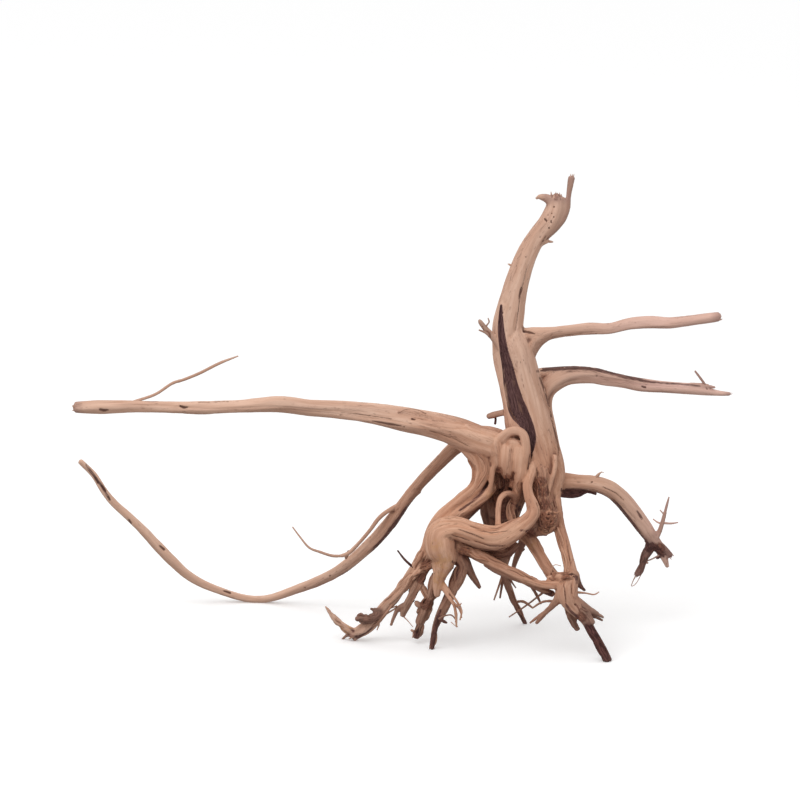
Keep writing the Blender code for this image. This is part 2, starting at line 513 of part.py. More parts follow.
def fused_limbs():
    """The limbs grown into one piece: tubes fused, the crotches between them rounded, and faces thinned."""
    limbs = [
        tube(name, route, LIMB_SIDES, LIMB_STEP, SECTION_LOBES, ROUNDED_OFF) for name, route in LIMBS.items()
    ]
    root = mesh_object("driftwood_root", limbs)
    fuse = root.modifiers.new("fuse", "REMESH")
    fuse.mode = "VOXEL"
    fuse.voxel_size = FUSE_CELL
    apply_modifiers(root)
    fill_sealed_hollows(root)
    rounding = root.modifiers.new("rounding", "SMOOTH")
    rounding.factor = 0.5
    rounding.iterations = ROUNDING_PASSES
    thinning = root.modifiers.new("thinning", "DECIMATE")
    thinning.ratio = KEPT_FACES / (2 * len(root.data.polygons))
    apply_modifiers(root)
    return root


def wood_material():
    """Dry, washed wood."""
    material = bpy.data.materials.new("washed_wood")
    material.use_nodes = True
    shader = material.node_tree.nodes["Principled BSDF"]
    shader.inputs["Base Color"].default_value = WOOD_COLOUR
    shader.inputs["Roughness"].default_value = WOOD_ROUGHNESS
    shader.inputs["Metallic"].default_value = 0.0
    return material


def driftwood_root():
    """The whole root as one object: fused limbs, carved, its twigs joined on and its feet trimmed flat."""
    root = fused_limbs()
    twigs = [
        mesh_object(name, [tube(name, route, TWIG_SIDES, TWIG_STEP, TWIG_LOBES, TWIG_FLATS)])
        for name, route in TWIGS.items()
    ]
    carvings = [
        mesh_object(name, [tube(name, route, CARVING_SIDES, CARVING_STEP, SECTION_LOBES)])
        for name, route in CARVINGS.items()
    ]
    twig_shapes = helper_collection("twig_shapes", twigs)
    carving_shapes = helper_collection("carving_shapes", carvings)
    ground = helper_collection("ground", [ground_slab()])
    add_boolean(root, "carve", "DIFFERENCE", carving_shapes)
    add_boolean(root, "join_twigs", "UNION", twig_shapes)
    add_boolean(root, "trim_feet", "DIFFERENCE", ground)
    apply_modifiers(root)
    root.data.materials.clear()
    root.data.materials.append(wood_material())
    root.data.shade_smooth()
    root.data.set_sharp_from_angle(angle=CREASE_ANGLE)
    for collection in (twig_shapes, carving_shapes, ground):
        for helper in list(collection.objects):
            bpy.data.objects.remove(helper)
        bpy.data.collections.remove(collection)
    return root


def main():
    for old in list(bpy.data.objects):
        bpy.data.objects.remove(old)
    driftwood_root()


main()
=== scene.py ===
"""Driftwood root: a dry, washed crown with one broken upright stem, long bare limbs and a fringe of rootlets.

The wood is grown from the same surveyed routes as its solid: the limbs are fused, the crotches rounded, the
hollows carved, and then the grain, cracks and knobs are raised on its skin. Metres, +Z up, front towards -Y.
"""

import itertools
import math
import zlib

import bpy
import numpy as np
from bpy.props import FloatProperty, FloatVectorProperty, IntProperty, PointerProperty
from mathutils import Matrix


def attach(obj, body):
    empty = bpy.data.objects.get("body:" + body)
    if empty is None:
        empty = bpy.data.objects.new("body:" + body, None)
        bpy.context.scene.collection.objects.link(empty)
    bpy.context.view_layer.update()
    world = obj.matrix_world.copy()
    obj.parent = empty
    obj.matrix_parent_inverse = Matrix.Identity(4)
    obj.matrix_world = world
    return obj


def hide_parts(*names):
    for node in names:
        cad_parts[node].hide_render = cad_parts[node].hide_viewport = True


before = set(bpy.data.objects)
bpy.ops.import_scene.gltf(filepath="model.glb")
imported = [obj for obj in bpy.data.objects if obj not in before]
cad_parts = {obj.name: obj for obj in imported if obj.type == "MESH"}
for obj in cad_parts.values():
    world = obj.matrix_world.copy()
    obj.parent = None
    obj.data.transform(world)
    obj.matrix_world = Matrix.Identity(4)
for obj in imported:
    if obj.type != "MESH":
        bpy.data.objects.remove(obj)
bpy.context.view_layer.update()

bl_info = {
    "name": "Driftwood root",
    "version": (1, 0, 0),
    "blender": (4, 5, 0),
    "location": "View3D > Sidebar > Driftwood",
    "description": "A dry, washed root crown with its grain, hollow and rootlets",
    "category": "Object",
}

MM = 0.001
NODE = "driftwood_root"
BODY = "root"

# The routes are surveyed on the root's front, in millimetres from a datum corner up and to the left of it:
# across to the right, down, and back. The front leans away from the upright by LEAN. The frame's origin lies
# DATUM_ACROSS to the right of the corner, the ground DATUM_ABOVE_GROUND down from it.
LEAN = math.radians(15)
DATUM_ACROSS = 402
DATUM_ABOVE_GROUND = 663
DATUM_TO_MIDDLE = 120.5

# Twigs are fused into the skin as far as they are thicker than THICK_TWIG millimetres in radius, if that part
# has at least FEWEST_SAMPLES samples, and are made TWIG_ADDED millimetres thicker there.
THICK_TWIG = 1.7
FEWEST_SAMPLES = 3
TWIG_ADDED = 0.2

# The least radius of a route in millimetres.
THINNEST = 0.4

# Sides of the tubes, and the length of their tips in radii.
LIMB_SIDES = 28
TWIG_SIDES = 16
ROOTLET_SIDES = 8
CARVING_SIDES = 40
TIP_LENGTH = 0.6

# Lobes of the tubes: number round the ring, and depth as a share of the radius. They turn by LOBE_TURN
# radians in each millimetre.
LIMB_LOBES = {2: 0.08, 3: 0.06, 5: 0.04, 7: 0.025}
TWIG_LOBES = {2: 0.12, 3: 0.07}
CARVING_LOBES = {2: 0.05, 5: 0.05}
LOBE_TURN = 0.012

# The slab under the ground, in metres.
GROUND_HALF = 0.5
GROUND_DEPTH = 0.1

# How deep in a broken end its splinters start, in millimetres.
SPLINTER_ROOT = 2.5

# What the names of strands on a limb hold, what those of the burl's curls start with, and how far the finish
# takes both to be shut in, for its painted shade.
STRAND = "_strand_"
CURL = "burl_curl"
SKIN_SHADE = 0.38

# Noise: what scatters the numbers of a cell and of a seed, what mixes their lowest 32 bits, and the gain.
CELL_SCATTER = (73856093, 19349663, 83492791)
SEED_SCATTER = 15485863
BIT_MIXERS = (2246822519, 3266489917)
LOW_BITS = 0xFFFFFFFF
NOISE_GAIN = 1.5

# The grain's layers, and in radii how near routes are that shouldn't share one, how far a route's grain
# reaches, and how far its broken end does, which fades between two distances from it in millimetres.
LAYERS = 3
NEAR_REACH = 2
GRAIN_REACH = 2.4
END_REACH = 1.8
END_FADE = (1, 9)

# The least total weight and share, so that nothing is divided by 0, and the widest shift of patterns.
NO_WEIGHT = 1e-6
LEAST_SHARE = 1e-5
PATTERN_SHIFT = 300

# The radius in millimetres from which wood has its full relief.
FULL_GIRTH = 14

# Patterns of the relief: cells in each millimetre across and along the grain, and the seed.
RELIEF = {
    "flutes": (0.11, 0.009, 1),
    "fibres": (0.36, 0.022, 2),
    "crack lines": (0.13, 0.007, 3),
    "crack patches": (0.03, 0.006, 4),
    "shreds": (0.45, 0.06, 8),
    "seams": (0.24, 0.014, 9),
}

# The farthest that distances to hollows, cracks and strips are told apart, in millimetres.
FAR = 6.0

# The front is sorted into cells from FRONT_MARGIN millimetres beside the datum, in rows of ROW_LENGTH cells.
FRONT_MARGIN = 100
ROW_LENGTH = 1000

# How far a way out has to face out before it counts.
LEAST_FACING = 0.15

# The full part of a soft spot's radius, and how its distances count across, down and back.
SPOT_CORE = 0.35
SPOT_SCALE = (1, 1, 0.6)

# The depth in millimetres under the skin round it at which a place is a full cavity.
DEEP_CAVITY = 0.5

# The finish's fibres, bands, patches, lines, dashes and shreds: cells in each millimetre across and along the
# grain, and the noise's detail and roughness.
FINISH = "washed_driftwood"
FINISH_GRAIN = [
    (1.3, 0.045, 3.0, 0.65), (0.24, 0.014, 2.0, 0.5), (0.06, 0.012, 2.0, 0.5), (0.42, 0.013, 1.5, 0.5),
    (0.55, 0.12, 1.0, 0.5), (0.8, 0.16, 3.0, 0.6),
]

# Noise that follows no grain, in cells to a metre, and the depth of the bumps in millimetres.
MOTTLE = 230
CRUMBS = 620
BUMP_DEPTH = 0.55

# A Mix node's sockets for colours go by their order, because their names repeat.
MIX_FACTOR = 0
MIX_FIRST = 6
MIX_SECOND = 7
MIX_COLOUR = 2

# The studio, in metres: the floor, the large light, and where the surroundings start to turn to the horizon.
FLOOR_HALF = 4.0
KEY_PLACE = (-0.9, -1.5, 2.2)
KEY_AIM = (0.0, 0.0, 0.2)
KEY_SIZE = 2.2
HORIZON_FROM = 0.44

# The view: its surveyed middle in millimetres, and its distance and depth in metres.
VIEW_MIDDLE = (400.0, 400.0, 0.0)
VIEW_DISTANCE = 2.0
VIEW_DEPTH = 20.0

# Limbs as (across, down, back, radius), each on a smooth curve through its points.
LIMBS = {
    "stem": [
        (546, 512, 50, 10), (546, 494, 52, 14), (545, 474, 54, 18), (538, 450, 54, 20.5),
        (530.5, 425, 52, 22), (525, 400, 49, 20.6), (518.5, 373, 46, 20), (513, 350, 43, 20),
        (508, 330, 40, 16), (509.8, 312, 38, 14.8), (514.3, 290, 35, 13.2), (521.6, 268, 32, 11.4),
        (529.4, 250, 30, 10.2), (538.8, 235, 28, 9.2), (549.5, 221.5, 26, 9.2), (555.5, 208, 25, 8.8),
        (556, 198, 25, 8.4),
    ],
    "stem_hook": [(554, 204, 24, 6), (547, 198.5, 22, 4.2), (541, 197, 21, 3)],
    "stem_blade": [
        (530, 252, 32, 4), (538, 244, 32, 3.6), (547, 236, 31, 3.2), (556, 228, 30, 2.8),
        (563.5, 219, 30, 2.4), (567.5, 208, 30, 2.2), (568.5, 196, 30, 2.2), (570, 186, 30, 2.6),
        (571.5, 177, 30, 3),
    ],
    "upper_right_limb": [
        (514, 385, 46, 12), (521, 366, 45, 12), (527, 353, 42, 9.5), (535.5, 341.5, 37, 7.6),
        (545, 335.5, 31, 6.2), (557, 332, 24, 5.7), (573, 330, 16, 5.4), (590, 328.5, 8, 5.4),
        (610, 328.5, 1, 4.8), (630, 324, -5, 5.2), (650, 322.5, -10, 5.6), (670, 323, -15, 5.2),
        (690, 320.5, -19.5, 4.7), (708, 318, -24, 4.8), (719, 316.5, -26, 4.6),
    ],
    "middle_right_limb": [
        (552, 496, 70, 7), (555, 478, 68, 9), (553.5, 455, 65, 8.5), (548, 430, 62, 8.5),
        (543, 408, 60, 8.6), (545, 392, 60, 9), (555, 381.5, 60, 9), (570, 375.5, 62, 8.2),
        (590, 375, 65, 7.4), (605, 378, 68, 6.6), (622, 381, 71, 5.8), (640, 384.5, 74, 6),
        (660, 386.5, 77, 5.3), (680, 388, 80, 5.3), (700, 390, 83, 5), (716, 393, 85, 3),
        (730, 394, 86, 1.7),
    ],
    "lower_right_limb": [
        (535, 472, 66, 11), (556, 479.5, 70, 8.6), (575, 482, 74, 7), (592, 483.5, 78, 7),
        (608, 488.5, 84, 7.5), (621, 498.5, 91, 7.8), (632.5, 511.5, 98, 8), (643.5, 526, 106, 7.8),
        (652.5, 538.5, 112, 7), (659, 547.5, 117, 5.6), (664, 557, 121, 3.6), (667.5, 567, 125, 1.8),
    ],
    "lower_right_fork": [
        (650, 536, 110, 6), (650, 545, 112, 5), (646, 554, 113, 3.8), (643, 563, 114, 3),
        (639.5, 571, 115, 3.5), (636, 575, 116, 2.4),
    ],
    "lower_right_stub": [
        (656, 543, 114, 5.5), (663, 549, 117, 4), (668, 553, 119, 3.2), (671, 556, 120, 2.4),
    ],
    "dark_flap": [
        (548, 482, 78, 8), (559, 489, 80, 7.5), (568, 491.5, 82, 7), (577, 492, 83, 6),
        (585, 491, 85, 3.2),
    ],
    "upper_left_limb": [
        (512, 462, 52, 16), (495, 448.5, 46, 18), (475, 440.5, 43, 17.4), (455, 431.8, 40, 15),
        (430, 424.7, 37, 12.6), (400, 418.5, 33, 11.4), (370, 413.5, 29, 9.4), (340, 409.7, 25, 8.2),
        (310, 407.3, 21, 7.6), (280, 404, 17, 7.8), (240, 406.6, 12, 6.6), (200, 407.5, 8, 6.4),
        (160, 407, 3, 5.3), (130, 406.5, 0, 5.5), (100, 407, -3, 6), (75, 407.5, -5, 4.8),
    ],
    "lower_left_limb": [
        (512, 450, 62, 10), (495, 438, 64, 9), (476, 436, 70, 8.5), (457, 446, 78, 7.2),
        (438, 463.5, 92, 6.6), (418.5, 485, 108, 6), (405, 502, 120, 6), (393, 519, 134, 6.2),
        (378, 537, 150, 6), (361, 553, 168, 5.4), (340, 569.5, 185, 5), (318, 581, 200, 4.6),
        (295, 590, 212, 4.2), (275, 597, 221, 3.8), (258, 599.3, 226, 3.6), (240, 597, 226, 3.6),
        (220, 590.5, 222, 3.7), (202, 583.5, 216, 3.9), (186, 573.5, 209, 4.2), (172, 560.5, 202, 4.6),
        (158, 546.5, 196, 4.4), (145, 532.5, 190, 4), (130, 518, 184, 3.6), (113, 502.5, 178, 3.5),
        (102, 488, 173, 3.3), (93, 474, 169, 3.1), (80, 461, 165, 2.8),
    ],
    "boss": [
        (486, 448, 40, 8), (495, 443, 35, 6.5), (502, 438, 30.5, 4.9), (508, 432.8, 28, 4.2),
        (515, 430.8, 27, 4), (521.5, 433.2, 27, 4.1), (524.8, 440, 27.5, 3.9), (525, 452, 29, 4.2),
        (523, 463, 32, 6), (522, 473, 34.5, 6.6), (519, 483, 40, 5.6), (518, 493, 44, 4.8),
        (516, 500, 47, 4.4),
    ],
    "crown_heart": [
        (500, 455, 52, 15), (503, 468, 58, 13), (508, 485, 68, 11), (507, 503, 74, 9.5),
        (508, 522, 72, 9.5),
    ],
    "crown_back": [
        (542, 436, 72, 11), (530, 466, 78, 13), (516, 492, 82, 11), (508, 520, 80, 9),
        (506, 542, 76, 8),
    ],
    "left_strand": [
        (462, 438, 42, 10), (477, 453, 42, 11.5), (482, 467, 42, 9), (479, 479.5, 42, 7),
        (472.5, 489.5, 41, 5.8), (462, 498.5, 40, 5.6), (450, 509, 39, 6), (440.5, 520, 38, 7.2),
        (432, 534, 37, 6.6), (426.5, 548, 38, 5), (420, 560, 41, 5), (412.5, 573, 46, 4.6),
    ],
    "left_strand_inner": [
        (497, 480, 52, 5), (490.5, 490, 46, 4.6), (483, 497, 42, 5.2), (470, 506, 41, 5.4),
        (456, 515.5, 38, 5.8), (444, 526, 33, 6),
    ],
    "back_strand": [
        (496, 462, 64, 9), (489, 484, 70, 7), (487, 503, 75, 6.5), (491, 522, 78, 7), (501, 542, 78, 8),
    ],
    "great_bend": [
        (539, 438, 54, 8), (536, 456, 46, 8), (531, 471, 37, 6.4), (527.8, 485, 30.5, 4.9),
        (529, 495, 27.5, 5), (532.3, 504, 25, 6), (532.8, 513, 22.8, 7.2), (525, 522.5, 19.5, 8.4),
        (512, 531, 16.5, 11.2), (498, 537.5, 15, 12.4), (484, 537, 15, 12), (469, 532.5, 15, 11.2),
        (455, 528.5, 17, 11.2), (441, 533, 19, 13.5), (441, 547, 21, 14), (444.5, 559, 24, 11.2),
        (442, 569, 27, 8.4), (439.3, 578, 30, 5.8), (437.7, 587, 33, 4.2), (437, 596, 36, 2.6),
    ],
    "burl": [
        (543, 480, 44, 10), (543, 492, 42, 8), (545, 503, 40, 8.4), (547, 513, 38.5, 9.8),
        (547.5, 523, 39.5, 9.6), (546, 530, 42, 7),
    ],
    "right_leg": [
        (550, 480, 58, 10), (553, 494, 55, 8), (556, 508, 50, 6.6), (559, 525, 44, 5.7),
        (563, 540, 37, 5.4), (566.5, 555, 28, 5.3), (569.8, 569, 19, 5.7), (570, 580, 14, 7.6),
        (567, 591, 11, 9.4), (568.5, 599, 10, 9), (573.5, 606.5, 10, 7.6), (579.5, 613, 10, 6.2),
        (585, 619.5, 10, 4.6),
    ],
    "middle_leg": [
        (512, 522, 56, 7), (521, 531, 48, 7), (531, 541, 43, 5.8), (539.5, 554, 36, 4.8),
        (547.5, 568, 27, 4.8), (555.5, 579, 20, 5.4), (563, 590, 15, 6),
    ],
    "ankle_cuff": [(549, 580, 17, 4.6), (560, 577.5, 13, 4.6), (568, 577, 12, 5), (575, 574, 16, 5)],
    "crossing_root": [
        (452, 541, 28, 6), (464, 547.5, 25, 5.8), (480, 555, 22, 5.4), (500, 566, 20, 4.7),
        (520, 576, 18, 4.2), (540, 583.8, 14, 4), (553, 585, 12, 4.6), (563, 584, 12, 5),
    ],
    "crossing_fork": [
        (486, 562, 27, 4.6), (498, 569, 24, 5), (510, 575, 23, 4.2), (524, 581, 23, 3.4),
        (537, 587, 23, 3.1), (546, 591, 23, 3), (553.5, 594, 23, 2.9),
    ],
    "outer_finger": [
        (421, 560, 40, 4.6), (412, 573, 45, 4.6), (402, 588, 53, 4.4), (391.5, 601, 61, 4.4),
        (379.5, 614, 69, 4.8), (366, 628, 77, 5.2), (352.5, 636.5, 83, 4.7),
    ],
    "finger_bridge": [
        (440, 560, 30, 3.6), (431, 566, 31, 3.1), (420, 570.5, 38, 3), (408, 579, 47, 3.1),
        (399, 587, 54, 3.4),
    ],
    "second_finger": [
        (432, 552, 34, 4.4), (427, 566, 39, 3.6), (421, 578, 44, 3.4), (416, 588, 48, 3.6),
        (410.5, 598, 54, 3.8), (405.5, 608, 60, 3.5), (402.3, 616, 64, 2.4),
    ],
    "knobby_finger": [
        (436, 574, 36, 4), (433, 588, 42, 4.6), (430, 598, 50, 5.2), (425, 609, 57, 6.2),
        (421.5, 619, 62.5, 4.8), (418.8, 627, 66, 3.6), (416.6, 633.5, 69, 4.6),
        (415.5, 636.5, 70, 4.2),
    ],
    "dark_finger": [
        (453, 552, 30, 7), (461.5, 565, 34, 5.8), (459, 575, 36, 5.5), (454.3, 585, 38, 5.2),
        (449.3, 596, 40, 4.8), (444, 606.5, 42.5, 4.2), (438.8, 618, 45.5, 3.8), (434.8, 630, 48, 3),
        (432.7, 641, 50, 2.7), (431.8, 650, 51.5, 2.6),
    ],
    "blunt_prong": [
        (456, 547, 32, 6), (464, 560, 34, 5.4), (471, 573, 37, 3.8), (476.5, 582, 39, 2.7),
        (480, 588, 41, 1.7),
    ],
    "foot_lobe": [(574, 604, 11, 6.5), (582, 611, 9, 4.9), (588.5, 618, 8, 3.6), (592.8, 624, 7, 2.4)],
    "foot_toe": [
        (564, 590, 12, 7), (559.5, 598, 12, 5), (553.5, 604.5, 13.5, 3), (546.5, 611.5, 17, 2.4),
        (541, 617.5, 19, 2.2), (536, 623.5, 21, 1.6),
    ],
    "foot_heel": [
        (566, 598, 11, 6), (567.8, 608, 14, 3.4), (571.5, 617, 17, 2.8), (575, 624, 19, 2.8),
        (577.8, 629.5, 21, 2.4),
    ],
    "prop_root": [
        (508, 534, 68, 8), (504, 548, 76, 7), (502, 560, 86, 5), (503.5, 573, 100, 3.7),
        (509.5, 588, 115, 2.9), (515, 603, 129, 2.7), (520, 613, 138, 2.5), (525.5, 624, 147, 2.1),
    ],
    "upper_right_web": [
        (505, 346, 42, 10), (519, 338.5, 40, 8.4), (532, 334.3, 35, 6.2), (545, 332.8, 29, 5),
        (560, 331.2, 21.5, 4.4),
    ],
    "middle_right_strip": [
        (526, 379, 62, 7), (540, 374, 64, 6), (556, 371.5, 66, 5), (575, 370.3, 67, 4.4),
        (595, 372, 70, 4.2), (610, 375.5, 72, 3.6), (632, 380, 75, 3),
    ],
    "boss_core": [
        (494, 452, 42, 13), (507, 446, 37, 9.5), (515, 446, 34, 8), (517, 458, 36.5, 9),
        (516, 472, 43, 7.5), (514, 486, 48, 6),
    ],
    "hidden_strand": [(486, 494, 60, 6), (475, 506, 56, 5), (465, 516, 48, 4.6), (457, 524, 38, 5)],
    "under_bulk": [
        (462, 548, 34, 6.5), (477, 551, 34, 6), (492, 554, 34, 6), (507, 552, 36, 5), (517, 545, 40, 4),
    ],
    "burl_lip": [(523, 532, 46, 4), (534, 531.5, 43, 5), (546, 530, 42, 6)],
    "burl_knob": [(541, 510, 32, 3.6), (541.5, 518, 30.5, 4), (543, 526, 32, 4.2)],
    "burl_wart": [(552, 512, 34, 3.4), (554, 517, 35, 3.2), (552.5, 524, 34, 3.8), (550, 530, 36, 3.4)],
    "long_toe": [
        (580, 612, 11, 5.4), (585, 619.5, 10, 4.8), (589.5, 627, 9.5, 3.9), (596.3, 638, 8.5, 3.8),
        (602, 648.5, 7, 4.2), (605.3, 656, 6, 4.6), (607.5, 661.5, 6, 4.7),
    ],
    "cuff_lump": [(569, 571, 17, 3.6), (574, 575, 15, 4.4), (575.5, 580, 14.5, 3.4)],
}

